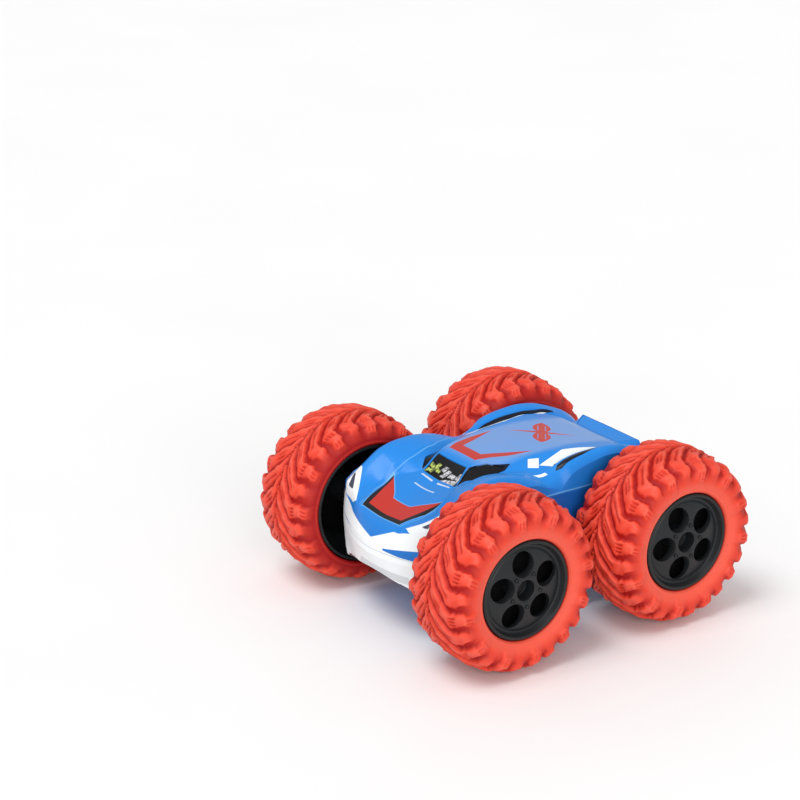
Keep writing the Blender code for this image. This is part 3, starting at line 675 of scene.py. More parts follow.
def emblem(paint):
    """Two heavy leaves and a thin blade across the roof, with cuts in the leaves."""
    x, y = paint.x + 1.6, paint.y - 26.0
    u, v = x * 0.786 - y * 0.618, x * 0.618 + y * 0.786
    lobe = abs(u) - 7.0
    heavy = (4.6 - lobe * lobe * 0.062 - abs(v)).larger(3.4 - abs(u) * 0.5 - abs(v)).above(0.0, 0.3)
    thin = (1.55 - abs(v) * 0.085 - abs(u)).above(0.0, 0.3)
    cuts = abs(v).between(1.6, 2.2, 0.3) * abs(u).between(2.5, 10.5, 0.6)
    return heavy.larger(thin) * (1.0 - cuts * 0.7) * paint.on_top


print("hood, roof and emblem written")


# %% The sweep beside the cabin, painted shade in its slots, a painted highlight along the belt and a painted reflection on the roof
def cabin_side(paint):
    white = [[(27.6, 1.6), (30.6, 7.5), (31.2, 22.0), (24.6, 23.0), (23.6, 19.0)],
             [(24.6, 23.0), (31.2, 22.0), (31.2, 35.5), (27.8, 35.5)],
             [(27.8, 35.5), (31.2, 35.5), (31.4, 52.0), (30.6, 52.0)],
             [(22.3, -1.4), (26.5, -4.6), (28.8, 0.4), (23.8, 4.2)],
             [(31.9, -5.7), (33.7, -3.4), (34.2, 1.7), (32.7, 1.0)]]
    # Painted shade: the first slot shape darkens the groove between cabin and fender to near black; the other
    # two black the pillar and the band beside the side window.
    slots = [[(29.8, 9.0), (31.0, 8.0), (31.5, 30.0), (31.7, 57.0), (30.9, 57.0), (29.9, 30.0)],
             [(12.7, -30.2), (13.9, -39.0), (15.0, -38.6), (14.2, -30.0)],
             [(12.7, -30.2), (14.2, -30.0), (21.2, -20.2), (22.0, -15.2), (20.7, -10.8)]]
    # Painted shadow: a dark band inside the fender crest, on the near side only.
    near_crest_shadow = [(33.4, 8.2), (35.0, 5.8), (36.2, 9.0), (36.3, 22.0), (35.0, 31.0), (33.3, 36.0)]
    slot = paint.top(*slots).larger(paint.shape(paint.above_signed, near_crest_shadow) * paint.on_top)
    # Painted highlight: a light line along the belt crease on both sides.
    belt_line = (paint.rise.between(21.6, 22.3, 0.2) * paint.out.above(39.0, 0.4)
                 * (1.0 - abs(paint.y).above(46.0, 4.0)))
    # Painted reflection: a pale wash over the roof between the cabin's edges.
    pearl = paint.on_top * (1.0 - paint.out.above(19.5, 4.0)) * paint.y.between(-26.0, 58.0, 6.0)
    return {"white": paint.top(*white), "slot": slot, "belt_line": belt_line, "pearl": pearl}


print("cabin side written")


# %% Nose and tail
def nose(paint, hood_black):
    at_nose = 1.0 - paint.y.above(-60.0, 0.4)
    plain = paint.shapes(paint.ahead, [(-45, 20), (1, 20), (1, 49.4), (-36, 56.6), (-45, 58.4)],
                         [(1, 20), (45, 20), (45, 59.8), (36, 59.4), (15, 56.0), (1, 49.4)])
    stripe = paint.shapes(paint.ahead, [(-45, 47.6), (-30, 46.2), (10, 45.4), (10, 46.2), (-30, 47.0),
                                        (-45, 48.6)],
                          [(10, 45.4), (20, 44.5), (45, 44.5), (45, 52.4), (29, 49.7), (10, 46.4)])
    lines = paint.shapes(paint.ahead, [(4, 52.4), (18, 56.0), (45, 58.0), (45, 58.6), (18, 56.6), (4, 52.8)],
                         [(16, 57.3), (45, 59.0), (45, 59.6), (16, 57.9)])
    nose_white = (plain * (1.0 - stripe) * (1.0 - lines) * (1.0 - hood_black)
                  * at_nose * paint.over_seam.between(-18.0, 13.4, 0.4))
    # Painted shade: a grey trapezoid low on the nose, where the nose is recessed.
    grille = paint.shapes(paint.ahead, [(-14, 30.4), (27, 30.4), (24, 34.7), (-11, 34.7)]) * at_nose
    lamp_pod = paint.shapes(paint.above, [(21.0, -74.0), (38.5, -71.8), (37.6, -60.0), (35.0, -60.6)])
    lamp_pod = lamp_pod * paint.rise.above(13.2, 0.4)
    lamp_dark = paint.shapes(paint.above, [(29.2, -70.2), (33.6, -69.6), (36.4, -64.4), (35.4, -64.2)])
    return {"nose_white": nose_white, "grille": grille, "lamp_pod": lamp_pod, "lamp_dark": lamp_dark * lamp_pod}


def tail(paint):
    at_tail = paint.y.above(73.0, 0.6)
    outlines = {"tail": [(-1, 2.0), (20, 2.0), (24, 9.0), (-1, 9.0)],
                "tail_lamp": [(24, 4.6), (34, 4.0), (35.5, 9.6), (26, 10.4)],
                "tail_white": [(-1, -1), (45, -1), (45, 1.4), (-1, 1.4)]}
    return {name: paint.shapes(paint.behind, outline) * at_tail for name, outline in outlines.items()}


print("nose and tail written")

# %% Inks and painted light, in the order they are laid on: mask, strength and colour
# The third blue is painted shade for the lower body and the flanks.
BLUE, MOTTLE_BLUE, SHADE_BLUE = (0.012, 0.205, 0.640), (0.015, 0.225, 0.68), (0.006, 0.075, 0.360)
# The light edge blue is painted highlight along the creases and the belt.
RED, HIGHLIGHT_BLUE = (0.50, 0.030, 0.020), (0.16, 0.44, 0.80)
PRINT_BLACK, PRINT_AND_HIGHLIGHT_WHITE = (0.010, 0.009, 0.010), (0.82, 0.86, 0.88)
# The roof reflection, the edge, belt and bar highlights, and the shade in the slots and in the nose's recess
# are painted light; the rest is print.
INKS_AND_PAINTED_LIGHT = (("pearl", 0.22, (0.60, 0.62, 0.64)), ("edge_line", 0.6, HIGHLIGHT_BLUE), ("belt_line", 0.7, HIGHLIGHT_BLUE),
        ("bars", 0.7, PRINT_AND_HIGHLIGHT_WHITE), ("white", 1.0, PRINT_AND_HIGHLIGHT_WHITE), ("hood_black", 1.0, PRINT_BLACK),
        ("hood_red", 1.0, RED), ("roof_red", 1.0, RED), ("emblem", 1.0, RED),
        ("slot", 1.0, (0.004, 0.006, 0.016)), ("nose_white", 1.0, PRINT_AND_HIGHLIGHT_WHITE),
        ("grille", 0.5, (0.42, 0.44, 0.47)), ("lamp_pod", 1.0, PRINT_AND_HIGHLIGHT_WHITE),
        ("lamp_dark", 1.0, (0.05, 0.06, 0.09)), ("tail_white", 1.0, PRINT_AND_HIGHLIGHT_WHITE),
        ("tail", 1.0, (0.02, 0.022, 0.03)), ("tail_lamp", 1.0, RED))
print(len(INKS_AND_PAINTED_LIGHT), "inks")


# %% The body's paint
def body_paint():
    paint = BodyPrint("body_paint", roughness=0.28, coat_weight=0.04, coat_roughness=0.08,
                      specular_ior_level=0.25)
    masks = hood_and_roof(paint) | cabin_side(paint) | tail(paint)
    masks |= nose(paint, masks["hood_black"]) | {"emblem": emblem(paint)}

    cloudy, grain = paint.noise(30.0, 3.0), paint.noise(900.0, 2.0)
    colour = paint.blend(cloudy.above(0.5, 0.9), BLUE, MOTTLE_BLUE)
    # Painted shade: the blue darkens towards the seam, and more on the flanks below the belt.
    colour = paint.blend((1.0 - paint.rise.above(9.0, 14.0)) * 0.45, colour, SHADE_BLUE)
    flank_shade = paint.out.above(38.6, 2.4) * (0.30 + (1.0 - paint.rise.above(21.2, 1.6)) * 0.45)
    colour = paint.blend(flank_shade, colour, SHADE_BLUE)
    for name, strength, laid_colour in INKS_AND_PAINTED_LIGHT:
        mask = masks[name] if strength == 1.0 else masks[name] * strength
        colour = paint.blend(mask, colour, laid_colour)
    printed = masks["white"].larger(masks["hood_black"]).larger(masks["roof_red"])
    printed = printed.larger(masks["nose_white"])
    return paint.feed(base_color=colour, roughness=0.27 + grain * 0.07 + printed * 0.05,
                      normal=paint.bump(cloudy * 0.35 + grain * 0.03 + printed * 0.12, 0.35, 0.0003))


BODY_PAINT = body_paint()
print("body paint with", len(BODY_PAINT.node_tree.nodes), "nodes")

# %% [markdown]
# ## Tyres
# The tyres are soft hollow mouldings, and their lugs are most of what one sees of this car. Each
# lug is a long curved ridge that starts at the crown, sweeps back and runs down the side wall.
# Sculpting or a displacement texture could make them. The pattern repeats every twelfth of a turn,
# so one sector is written as a grid with its lugs raised, and Geometry Nodes turn it into a ring.

# %% The tyre's section
WHEELS = [(f"{end}_{side}", side) for side in SIDES for end in ("front", "rear")]
SECTOR_COUNT = 12
TYRE_LOW, TYRE_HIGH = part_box("tyre_front_left")
TYRE_RADIUS = (TYRE_HIGH.z - TYRE_LOW.z) / 2 / MM
TRACK_HALF = (TYRE_LOW.x + TYRE_HIGH.x) / 2 / MM
BEAD_RADIUS, BEAD_X, SIDE_RADIUS, HALF_WIDTH = 25.4, 18.7, 31.5, 21.0
CROWN_RADIUS = TYRE_RADIUS - 2.5


def wheel_centre(where, side):
    low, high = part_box(f"tyre_{where}")
    return Vector((SIDES[side] * TRACK_HALF * MM, (low.y + high.y) / 2, SEAM * MM))


def tyre_outline(count):
    """(x, radius) of the outside without lugs, evenly spaced from the outer bead to the inner one."""
    x = HALF_WIDTH * np.cos(np.linspace(0, math.pi, 400))
    upper = SIDE_RADIUS + (CROWN_RADIUS - SIDE_RADIUS) * (1 - np.abs(x / HALF_WIDTH) ** 2.7) ** (1 / 2.7)
    low_radius = np.linspace(BEAD_RADIUS, SIDE_RADIUS, 60)[:-1]
    share = (SIDE_RADIUS - low_radius) / (SIDE_RADIUS - BEAD_RADIUS)
    low_x = HALF_WIDTH * np.sqrt(1 - share**2 * (1 - (BEAD_X / HALF_WIDTH) ** 2))
    line = np.array([*zip(low_x, low_radius), *zip(x, upper)])
    along = np.concatenate([[0], np.cumsum(np.linalg.norm(np.diff(line, axis=0), axis=1))])
    crown = along[np.argmax(line[:, 1])]
    at = np.linspace(0, along[-1], count)
    points = np.stack([np.interp(at, along, line[:, 0]), np.interp(at, along, line[:, 1])], -1)
    s = np.where(at < crown, 1 - at / crown, -(at - crown) / (along[-1] - crown))
    return points, s


outline, outline_s = tyre_outline(124)
crown_x = outline[np.argmin(abs(outline_s))][0]
print("tyre section", len(outline), "points, crown at x =", round(float(crown_x), 2))


# %% The lugs' height over one sector
def step(value, edge, soft):
    """0 below the edge, 1 above, smooth between."""
    t = np.clip((value - edge) / soft + 0.5, 0, 1)
    return t * t * (3 - 2 * t)


def groove(value, centre, width, soft):
    return step(value, centre - width / 2, soft) * (1 - step(value, centre + width / 2, soft))


def short_cuts(a, f, where, length, centres, width, soft):
    """Short grooves beside one another, cut down a lug."""
    return groove(a, where, length, 0.03) * sum(groove(f, centre, width, soft) for centre in centres)


def lug_height(turn, s):
    """Raised height in millimetres; turn counts sectors, s runs from 1 at the outer bead to -1."""
    a = np.abs(s)
    sweep = 0.80 * (1 - (1 - np.minimum(a / 0.52, 1)) ** 2) + 0.03 * np.sin(a * 19)
    ridge = 2 * (turn - sweep) + np.where(s > 0, 0.0, 0.5)
    f, second = ridge % 1, (np.floor(ridge) % 2) == 1
    wave = 0.028 * np.sin(a * 43 + 1.3 * second) + 0.016 * np.sin(a * 79 + 2.0)
    width = 0.74 - 0.10 * step(a, 0.55, 0.3) - 0.16 * second * step(a, 0.6, 0.2)
    top = step(f + wave, 0.10, 0.10) * (1 - step(f + wave, 0.10 + width, 0.20))
    top = top * (1.0 - 0.38 * np.clip((f - 0.2) / 0.6, 0, 1) + 0.07 * np.sin(a * 31 + 9 * f + 2 * second))
    reach = np.where(second, 0.70, 0.80)
    tall = 2.45 - 1.55 * step(a, 0.60, 0.5)
    lug = tall * top * (1 - step(a, reach, 0.24))
    lug = lug + 0.55 * groove(a, 0.60, 0.11, 0.07) * groove(f, 0.45, 0.46, 0.22)
    lug = lug * step(a + 0.035 * np.cos(math.tau * f), 0.012, 0.05)
    two_cuts = short_cuts(a, f, 0.20, 0.13, (0.36, 0.58), 0.10, 0.06) * ~second
    three_cuts = short_cuts(a, f, 0.46, 0.09, (0.30, 0.47, 0.64), 0.085, 0.05) * ~second
    long_cut = groove(a, 0.26, 0.24, 0.05) * groove(f + 0.25 * (a - 0.26), 0.47, 0.11, 0.07) * second
    block = groove(a, 0.70, 0.15, 0.05) * groove(f, 0.42, 0.44, 0.10) * ~second
    marks = short_cuts(a, f, 0.70, 0.09, (0.33, 0.53), 0.10, 0.05) * ~second
    rib = 0.5 * groove(a, 0.955, 0.03, 0.03)
    bulge = 0.35 * np.sin(math.pi * np.clip(f, 0, 1)) * groove(a, 0.72, 0.30, 0.2)
    return (lug + 0.7 * block - 1.25 * two_cuts - 1.1 * three_cuts - 1.25 * long_cut - marks
            + rib + bulge)


print("lug height at the crown", round(float(lug_height(np.array(0.35), np.array(0.1))), 2), "mm")

# %% One sector as a mesh
TYRE_INSIDE = np.array([(-16.5, 31.4), (-14.5, 37.0), (-8.0, 39.8), (0, 40.4), (8.0, 39.8), (14.5, 37.0),
                        (16.8, 31.0), (15.2, 25.4)])            # x and radius, from the inner bead out
RELIEF_FULL = 2.5                                               # the lug height that counts as 1


def tyre_sector(name, side, around=46):
    """The outside with its lugs and the inside wall, for one twelfth of a turn about X."""
    turns = np.linspace(0, 1, around + 1)
    t, s = np.meshgrid(turns, outline_s, indexing="ij")
    raised = lug_height(t, s)
    tangent = np.gradient(outline, axis=0)
    normal = np.stack([-tangent[:, 1], tangent[:, 0]], -1)
    normal /= np.linalg.norm(normal, axis=1, keepdims=True)
    normal *= np.sign((normal * (outline - (0, SIDE_RADIUS - 2))).sum(1, keepdims=True))
    place = outline[None] + normal[None] * raised[..., None]
    inside = np.repeat(TYRE_INSIDE[None], around + 1, 0)
    place = np.concatenate([place, inside, place[:, :1]], axis=1)
    angle = t[:, :1] * math.tau / SECTOR_COUNT
    x, radius = side * place[..., 0], place[..., 1]
    points = np.stack([x, radius * np.cos(angle), radius * np.sin(angle)], -1)
    columns = points.shape[1]
    obj = new_object(name, points.reshape(-1, 3), grid_faces(around + 1, columns, flip=side < 0))
    relief = obj.data.attributes.new("relief", "FLOAT", "POINT")
    # Painted highlight: the outer flank is given full relief, so the material's lighter lug-top red covers it
    # as a light ring.
    flank = np.where(outline_s > 0, step(np.abs(outline_s), 0.74, 0.34), 0.0)
    tone = np.maximum(raised, 0) * (1 - flank) + RELIEF_FULL * flank
    full = np.concatenate([tone, np.zeros((around + 1, columns - raised.shape[1]))], axis=1)
    relief.data.foreach_set("value", (full / RELIEF_FULL).astype(np.float32).ravel())
    print(name, columns, "by", around + 1, "points")
    return obj


sectors = {name: tyre_sector(f"sector_{name}", side) for name, side in SIDES.items()}

# %% [markdown]
# The ring tree puts a copy of whatever mesh it stands on at each step of a turn about X, realises
# the copies, welds their edges and gives them a material. The same tree serves the tyres and the
# bolt heads on the rims.


# %% A ring of copies, in Geometry Nodes
class Ring(Tree):
    def __init__(self, name):
        super().__init__(bpy.data.node_groups.new(name, "GeometryNodeTree"))
        face = self.tree.interface
        face.new_socket("Geometry", in_out="OUTPUT", socket_type="NodeSocketGeometry")
        self.key = {}
        for label, kind in (("Geometry", "NodeSocketGeometry"), ("Copies", "NodeSocketInt"),
                            ("Weld", "NodeSocketFloat"), ("Material", "NodeSocketMaterial")):
            self.key[label] = face.new_socket(label, in_out="INPUT", socket_type=kind).identifier
        given = self.tree.nodes.new("NodeGroupInput")
        shape, copies, weld_by, material = (Value(self, given.outputs[label]) for label in self.key)
        line = self.node("GeometryNodeMeshLine", {}, {"Count": copies, "Offset": (0, 0, 0)})
        turn = self.node("GeometryNodeInputIndex") * math.tau / copies
        angles = self.node("ShaderNodeCombineXYZ", {}, {0: turn})
        rotation = self.node("FunctionNodeEulerToRotation", {}, {0: angles})
        placed = self.node("GeometryNodeInstanceOnPoints", {},
                           {"Points": line, "Instance": shape, "Rotation": rotation})
        real = self.node("GeometryNodeRealizeInstances", {}, {0: placed})
        welded = self.node("GeometryNodeMergeByDistance", {}, {"Geometry": real, "Distance": weld_by})
        painted = self.node("GeometryNodeSetMaterial", {}, {"Geometry": welded, "Material": material})
        out = self.tree.nodes.new("NodeGroupOutput")
        self.tree.links.new(painted.socket, out.inputs[0])

    def grow(self, obj, copies, material, weld_by=4e-6, sharp=180.0):
        modifier = obj.modifiers.new("ring", "NODES")
        modifier.node_group = self.tree
        modifier[self.key["Copies"]] = copies
        modifier[self.key["Weld"]] = weld_by
        modifier[self.key["Material"]] = material
        return settle(obj, sharp)


RING = Ring("ring_of_copies")
print("ring tree with", len(RING.tree.nodes), "nodes")


# %% Soft red rubber
def tyre_rubber():
    rubber = Finish("tyre_rubber", roughness=0.45, specular_ior_level=0.28)
    relief = rubber.node("ShaderNodeAttribute", {"attribute_name": "relief"}, output=2)
    cloudy, grain = rubber.noise(60.0, 3.0), rubber.noise(1400.0, 2.0)
    # Painted shade: deep red in the grooves between the lugs.
    groove_shade = 1.0 - (relief * 1.5).clipped()
    colour = rubber.blend(cloudy.above(0.5, 0.8) * 0.5, (0.68, 0.044, 0.020), (0.74, 0.060, 0.030))
    colour = rubber.blend(groove_shade, colour, (0.33, 0.002, 0.002))
    # Painted highlight: a lighter, pinker red on the lug tops and on the outer flank.
    colour = rubber.blend((relief - 0.70).clipped() * 1.3, colour, (0.84, 0.15, 0.095))
    return rubber.feed(base_color=colour, roughness=0.42 + grain * 0.12 + groove_shade * 0.1,
                       normal=rubber.bump(grain * 0.25 + cloudy * 0.5, 0.25, 0.0002))


TYRE_RUBBER = tyre_rubber()
# How far each tyre is turned at rest, in degrees.
START_TURN = {"front_left": 8.0, "rear_left": 21.0, "front_right": 3.0, "rear_right": 14.0}
tyres = {}
for where, side in WHEELS:
    tyre = bpy.data.objects.new(f"soft_tyre_{where}", sectors[side].data.copy())
    bpy.context.scene.collection.objects.link(tyre)
    RING.grow(tyre, SECTOR_COUNT, TYRE_RUBBER)
    turn = Matrix.Rotation(math.radians(START_TURN[where]), 4, "X")
    tyre.data.transform(Matrix.Translation(wheel_centre(where, side)) @ turn)
    tyres[where] = weld(tyre)
for sector in sectors.values():
    drop(sector)

# %% [markdown]
# ## Rims
# A rim is black satin plastic: a rounded lip, a short wall down into it, then a slightly domed
# face with five round holes, five small bolt heads and a deep hole at the hub. It is turned from
# its half profile and the holes are cut with flared bars, which leaves each one a bevelled edge.


# %% Turning a profile about X
def turned(name, profile, sides=72, side=1, material=None):
    """A closed ring of (x, radius) points turned about the X axis."""
    profile = np.array(profile, float)
    angles = np.arange(sides)[:, None] * math.tau / sides
    x, radius = np.repeat(side * profile[None, :, 0], sides, 0), profile[None, :, 1]
    points = np.stack([x, np.cos(angles) * radius, np.sin(angles) * radius], -1)
    count = len(profile)
    faces = []
    for i in range(sides):
        here, ahead = i * count, (i + 1) % sides * count
        for j in range(count):
            k = (j + 1) % count
            faces.append((here + j, here + k, ahead + k, ahead + j))
    return weld(new_object(name, points.reshape(-1, 3), faces, material), outward=True)


def rounded(points, radius, steps=3):
    """The profile with every corner turned into a short curve."""
    made, points = [], np.array(points, float)
    for i, here in enumerate(points):
        before, after = points[i - 1] - here, points[(i + 1) % len(points)] - here
        lengths = np.linalg.norm(before), np.linalg.norm(after)
        reach = min(radius, 0.45 * lengths[0], 0.45 * lengths[1])
        start, end = here + before / lengths[0] * reach, here + after / lengths[1] * reach
        for k in range(steps + 1):
            t = k / steps
            made.append((1 - t) ** 2 * start + 2 * t * (1 - t) * here + t * t * end)
    return made


print("turning ready")

# %% The rim's profile and holes
HOLES, HOLE_RADIUS, HOLE_PITCH, BOLT_PITCH = 5, 6.0, 13.8, 8.6
# Where each rim's first hole stands, in degrees about the axle.
FIRST_HOLE = {"front_left": 24.0, "rear_left": 40.0, "front_right": 60.0, "rear_right": 24.0}
dome = [(19.4 - 0.0065 * r * r, r) for r in (20.0, 17.0, 14.0, 11.0, 8.5, 6.9)]
RIM_PROFILE = [(12.2, 2.3), (12.2, 4.9), (18.7, 5.1), (19.1, 6.0), *dome[::-1], (16.2, 20.8), (16.2, 22.0),
               (18.4, 22.9), (19.3, 23.3), (19.3, 24.6), (18.4, 25.1), (0.0, 25.1), (-11.0, 30.8),
               (-20.4, 30.8), (-20.4, 29.2), (-11.8, 29.2), (-1.2, 23.2), (15.0, 23.2), (15.0, 7.2),
               (-6.0, 6.3), (-6.0, 2.3)]


def rim(name, side, first):
    body = turned(name, rounded(RIM_PROFILE, 0.5), side=side)
    points, faces = round_bar(HOLE_RADIUS, 8.0, 22.0, 48, flare=2.0, flared=4.6)
    points, parts = [(side * x, y, z) for x, y, z in points], []
    for i in range(HOLES):
        angle = math.radians(first) + i * math.tau / HOLES
        parts.append(((points, faces), (0, HOLE_PITCH * math.cos(angle), HOLE_PITCH * math.sin(angle))))
    cutter = weld(new_object("rim_cutter", *joined(parts)), outward=True)
    settle(cut(body, cutter), sharp=40)
    drop(cutter)
    return body


def black_plastic(name, colour, rough, specular=0.4):
    plastic = Finish(name, roughness=rough, specular_ior_level=specular)
    cloudy, grain = plastic.noise(80.0, 3.0), plastic.noise(2200.0, 2.0)
    tone = plastic.blend(cloudy.above(0.5, 0.8), colour, tuple(c * 1.45 for c in colour))
    return plastic.feed(base_color=tone, roughness=rough + grain * 0.14 + cloudy * 0.08,
                        normal=plastic.bump(grain * 0.4 + cloudy * 0.2, 0.22, 0.00015))


RIM_BLACK = black_plastic("rim_black_plastic", (0.009, 0.010, 0.011), 0.34, 0.3)
BOLT_HEAD = rounded([(18.0, 0.0001), (18.0, 1.05), (19.5, 1.05), (19.9, 0.55), (19.45, 0.5), (19.45, 0.0001)],
                    0.12, 2)
rims = {}
for where, side in WHEELS:
    to_wheel = Matrix.Translation(wheel_centre(where, side))
    body = rim(f"wheel_rim_{where}", SIDES[side], FIRST_HOLE[where])
    body.data.materials.append(RIM_BLACK)
    body.data.transform(to_wheel)
    bolts = turned(f"rim_bolts_{where}", BOLT_HEAD, 12, SIDES[side])
    turn = Matrix.Rotation(math.radians(FIRST_HOLE[where] + 180 / HOLES), 4, "X")
    bolts.data.transform(turn @ Matrix.Translation((0, BOLT_PITCH * MM, 0)))
    RING.grow(bolts, HOLES, RIM_BLACK, sharp=30)
    bolts.data.transform(to_wheel)
    rims[where] = (body, bolts)
print(len(rims), "rims with", len(rims["front_left"][0].data.polygons), "faces each")

# %% [markdown]
# Behind the face a plain black disc closes the rim. It is painted shade: the holes look into the dark,
# as into the shaded inside of a wheel. It is a thin disc with a rolled edge, turned like the rim.

# %% Painted shade: black discs behind the rim faces
# Painted shade: a near-black, rough, barely glossy plastic for these discs.
SHADE_DISC_BLACK = black_plastic("rim_drum_black_plastic", (0.0025, 0.0022, 0.0022), 0.80, 0.1)
DISC = rounded([(6.6, 6.6), (8.0, 6.6), (7.2, 12.0), (7.4, 21.5), (9.0, 23.0), (6.6, 23.0)], 0.4)
shade_discs = {}
for where, side in WHEELS:
    shade_disc = turned(f"rim_drum_{where}", DISC, side=SIDES[side], material=SHADE_DISC_BLACK)
    shade_disc.data.transform(Matrix.Translation(wheel_centre(where, side)))
    shade_discs[where] = settle(shade_disc, sharp=40)
print(len(shade_discs), "shade_discs")

# %% [markdown]
# ## Dark glass
# The windows are gloss black mouldings. The windscreen carries a small printed sticker: a few
# slanted yellow-green and white shapes of no meaning, each a printed mask like those on the body.


# %% Window finish
def window_gloss():
    glass = Print("window_gloss", roughness=0.08, specular_ior_level=0.25)
    plane = glass.plane(glass.x - (glass.y + 36.0) * 0.25, glass.y)
    green = glass.shapes(plane, [(-12.4, -35.9), (-8.6, -36.4), (-8.2, -35.0), (-11.8, -34.4)],
                         [(-10.6, -37.6), (-7.9, -38.0), (-4.9, -33.8), (-7.2, -33.6)],
                         [(-6.2, -36.6), (-3.4, -36.9), (-3.0, -35.7), (-5.8, -35.2)],
                         [(-13.0, -38.6), (-11.4, -38.9), (-9.6, -36.9), (-11.4, -36.6)])
    white = glass.shapes(plane, [(-3.6, -35.4), (-0.6, -35.7), (0.8, -33.6), (-2.0, -33.6)],
                         [(-1.4, -37.4), (1.4, -37.6), (4.2, -34.6), (1.6, -34.2)],
                         [(3.6, -36.6), (8.6, -36.6), (9.4, -35.2), (4.4, -35.0)],
                         [(0.8, -39.2), (11.9, -39.2), (12.4, -36.6), (4.2, -37.7)],
                         [(9.2, -36.4), (12.4, -36.9), (11.6, -33.4), (10.2, -34.2)])
    speckle = glass.noise(700.0, 2.0)
    torn = speckle.above(0.50, 0.16)
    colour = glass.blend(glass.noise(40.0).above(0.5, 0.6), (0.004, 0.004, 0.005), (0.008, 0.008, 0.010))
    colour = glass.blend(green * (0.25 + torn * 0.65), colour, (0.52, 0.62, 0.14))
    colour = glass.blend(white * (0.30 + torn * 0.6), colour, (0.74, 0.73, 0.76))
    printed = green.larger(white)
    return glass.feed(base_color=colour, roughness=0.07 + speckle * 0.03 + printed * 0.25,
                      normal=glass.bump(glass.noise(45.0), 0.12, 0.0003))


WINDOW_GLOSS = window_gloss()
print("window finish with", len(WINDOW_GLOSS.node_tree.nodes), "nodes")

# %% [markdown]
# ## What is inside
# Gears, axles, motors, chassis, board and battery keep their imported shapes, which are right. Each
# gets the finish of its own material: sandblasted black plastic, milky acetal with a soft wax
# sheen, turned steel and brass with fine tool marks, solder mask over copper tracks, and the
# battery's shrink sleeve.


# %% Metals with tool marks
def turned_metal(name, colour, rough, stretch):
    metal = Finish(name, roughness=rough, metallic=1.0)
    marks, cloudy = metal.noise(900.0, 3.0, stretch=stretch), metal.noise(120.0, 3.0)
    tone = metal.blend(cloudy, tuple(c * 0.82 for c in colour), colour)
    return metal.feed(base_color=tone, roughness=rough + marks * 0.22,
                      normal=metal.bump(marks, 0.18, 0.00008))


STEEL = turned_metal("plated_steel", (0.62, 0.62, 0.63), 0.22, (3.0, 0.5, 0.5))
# Painted shade: near-black steel for the axle ends and hub screws seen down the hub holes.
HUB_SHADE_STEEL = turned_metal("blackened_steel", (0.035, 0.034, 0.036), 0.45, (3.0, 0.5, 0.5))
BRASS = turned_metal("turned_brass", (0.78, 0.56, 0.24), 0.26, (3.0, 0.6, 0.6))
print("steel and brass")


# %% Acetal, board and battery sleeve
def acetal():
    plastic = Finish("milky_acetal", roughness=0.4, subsurface_weight=0.15, subsurface_scale=0.002)
    cloudy, grain = plastic.noise(150.0, 3.0), plastic.noise(2500.0, 2.0)
    tone = plastic.blend(cloudy, (0.70, 0.69, 0.64), (0.80, 0.79, 0.75))
    return plastic.feed(base_color=tone, roughness=0.36 + grain * 0.15,
                        normal=plastic.bump(grain, 0.2, 0.0001))


def solder_mask():
    board = Finish("solder_mask", roughness=0.35, specular_ior_level=0.6)
    tracks = abs((board.x * 2.4).sine()).above(0.82, 0.08)
    pads = ((board.x * 1.1).sine() * (board.y * 1.1).sine()).above(0.93, 0.03)
    tone = board.blend(board.noise(200.0), (0.008, 0.10, 0.035), (0.012, 0.13, 0.045))
    tone = board.blend(tracks * 0.6, tone, (0.03, 0.24, 0.09))
    tone = board.blend(pads, tone, (0.75, 0.73, 0.68))
    return board.feed(base_color=tone, roughness=0.38 - tracks * 0.1, metallic=pads,
                      normal=board.bump(tracks * 0.6 + pads, 0.4, 0.0001))


def shrink_sleeve():
    sleeve = Finish("shrink_sleeve", roughness=0.3, coat_weight=0.2)
    creases = sleeve.noise(70.0, 4.0, 0.65, stretch=(1.0, 3.0, 1.0))
    band = sleeve.y.between(14.0, 17.5, 0.3)
    tone = sleeve.blend(creases, (0.02, 0.06, 0.22), (0.035, 0.09, 0.30))
    tone = sleeve.blend(band, tone, (0.72, 0.74, 0.78))
    return sleeve.feed(base_color=tone, roughness=0.24 + creases * 0.2,
                       normal=sleeve.bump(creases, 0.4, 0.0003))


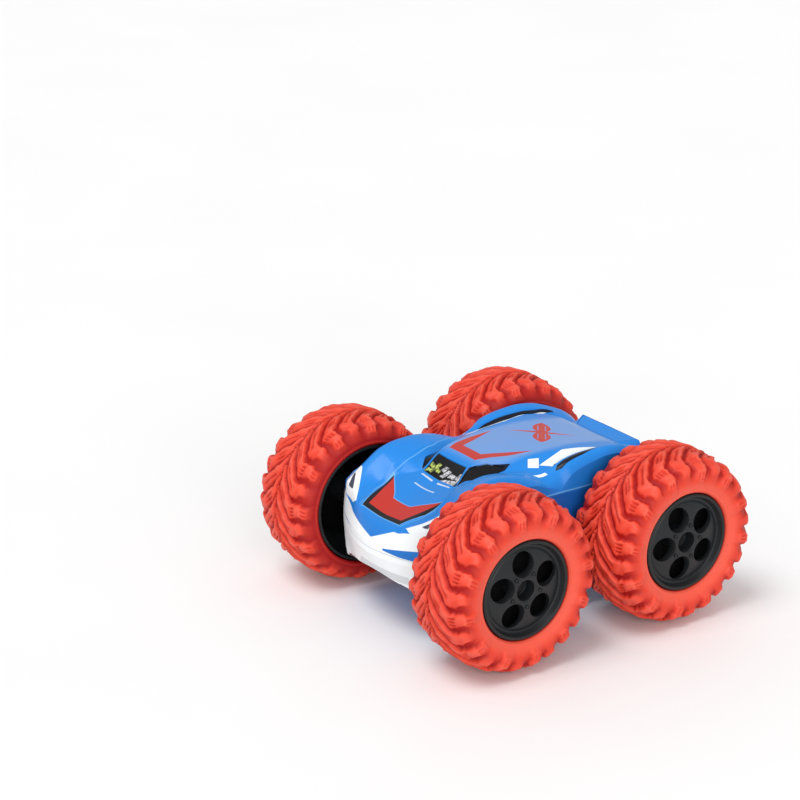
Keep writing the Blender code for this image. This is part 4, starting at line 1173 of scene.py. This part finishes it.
CHASSIS_BLACK = black_plastic("chassis_black_plastic", (0.020, 0.020, 0.022), 0.50)
FINISHES = {"body_blue": BODY_PAINT, "smoked_window": WINDOW_GLOSS, "tyre_red": TYRE_RUBBER,
            "rim_black": RIM_BLACK, "chassis_black": CHASSIS_BLACK, "gear_white": acetal(), "steel": STEEL,
            "brass": BRASS, "board_green": solder_mask(), "battery_wrap": shrink_sleeve()}
print(len(FINISHES), "finishes")


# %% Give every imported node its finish
def give_finish(obj, finish):
    obj.data.materials.clear()
    obj.data.materials.append(finish)


slot_of = {row["node"]: row["material_slot"] for row in frame["record"]["subparts"]}
for node, obj in frame["nodes"].items():
    # Axle ends and hub screws show in the hub holes; they get the near-black steel as painted shade in those
    # holes.
    dark = node.startswith(("axle_", "hub_screw_")) and slot_of[node] == "steel"
    give_finish(obj, HUB_SHADE_STEEL if dark else FINISHES[slot_of[node]])
print("painted", len(frame["nodes"]), "packed nodes")

# %% [markdown]
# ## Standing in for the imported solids
# Every piece rides on the body of the node it replaces, so it turns and opens with it.


# %% Riding and replacing
def stand_for(piece, body, node, finish=None):
    if finish:
        give_finish(piece, finish)
    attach(piece, body)
    if node:
        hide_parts(node)


for name in LAYERS:
    stand_for(shells[name], "body", f"{name}_shell", BODY_PAINT)
for node, piece in panels.items():
    stand_for(piece, "body", node, FINISHES[slot_of[node]])
stand_for(door, "battery_door", "battery_door", BODY_PAINT)
for where, tyre in tyres.items():
    stand_for(tyre, f"wheel_{where}", f"tyre_{where}")
    stand_for(rims[where][0], f"wheel_{where}", f"rim_{where}")
    stand_for(rims[where][1], f"wheel_{where}", None)
    stand_for(shade_discs[where], f"wheel_{where}", None)
print("pieces ride on their bodies")

# %% [markdown]
# ## The floor
# A wide pale sheet, as under a product in a studio, with a faint mottle so that it isn't a flat
# colour.

# %% Floor
sheet = Finish("studio_floor", roughness=0.55)
mottle = sheet.noise(6.0, 3.0)
pale = sheet.blend(mottle, (0.86, 0.86, 0.86), (0.90, 0.90, 0.90))
sheet.feed(base_color=pale, roughness=0.5 + mottle * 0.1)
FAR = 6000
floor = new_object("floor", [(-FAR, -FAR, 0), (FAR, -FAR, 0), (FAR, FAR, 0), (-FAR, FAR, 0)],
                   [(0, 1, 2, 3)], sheet.material)
print("floor laid")
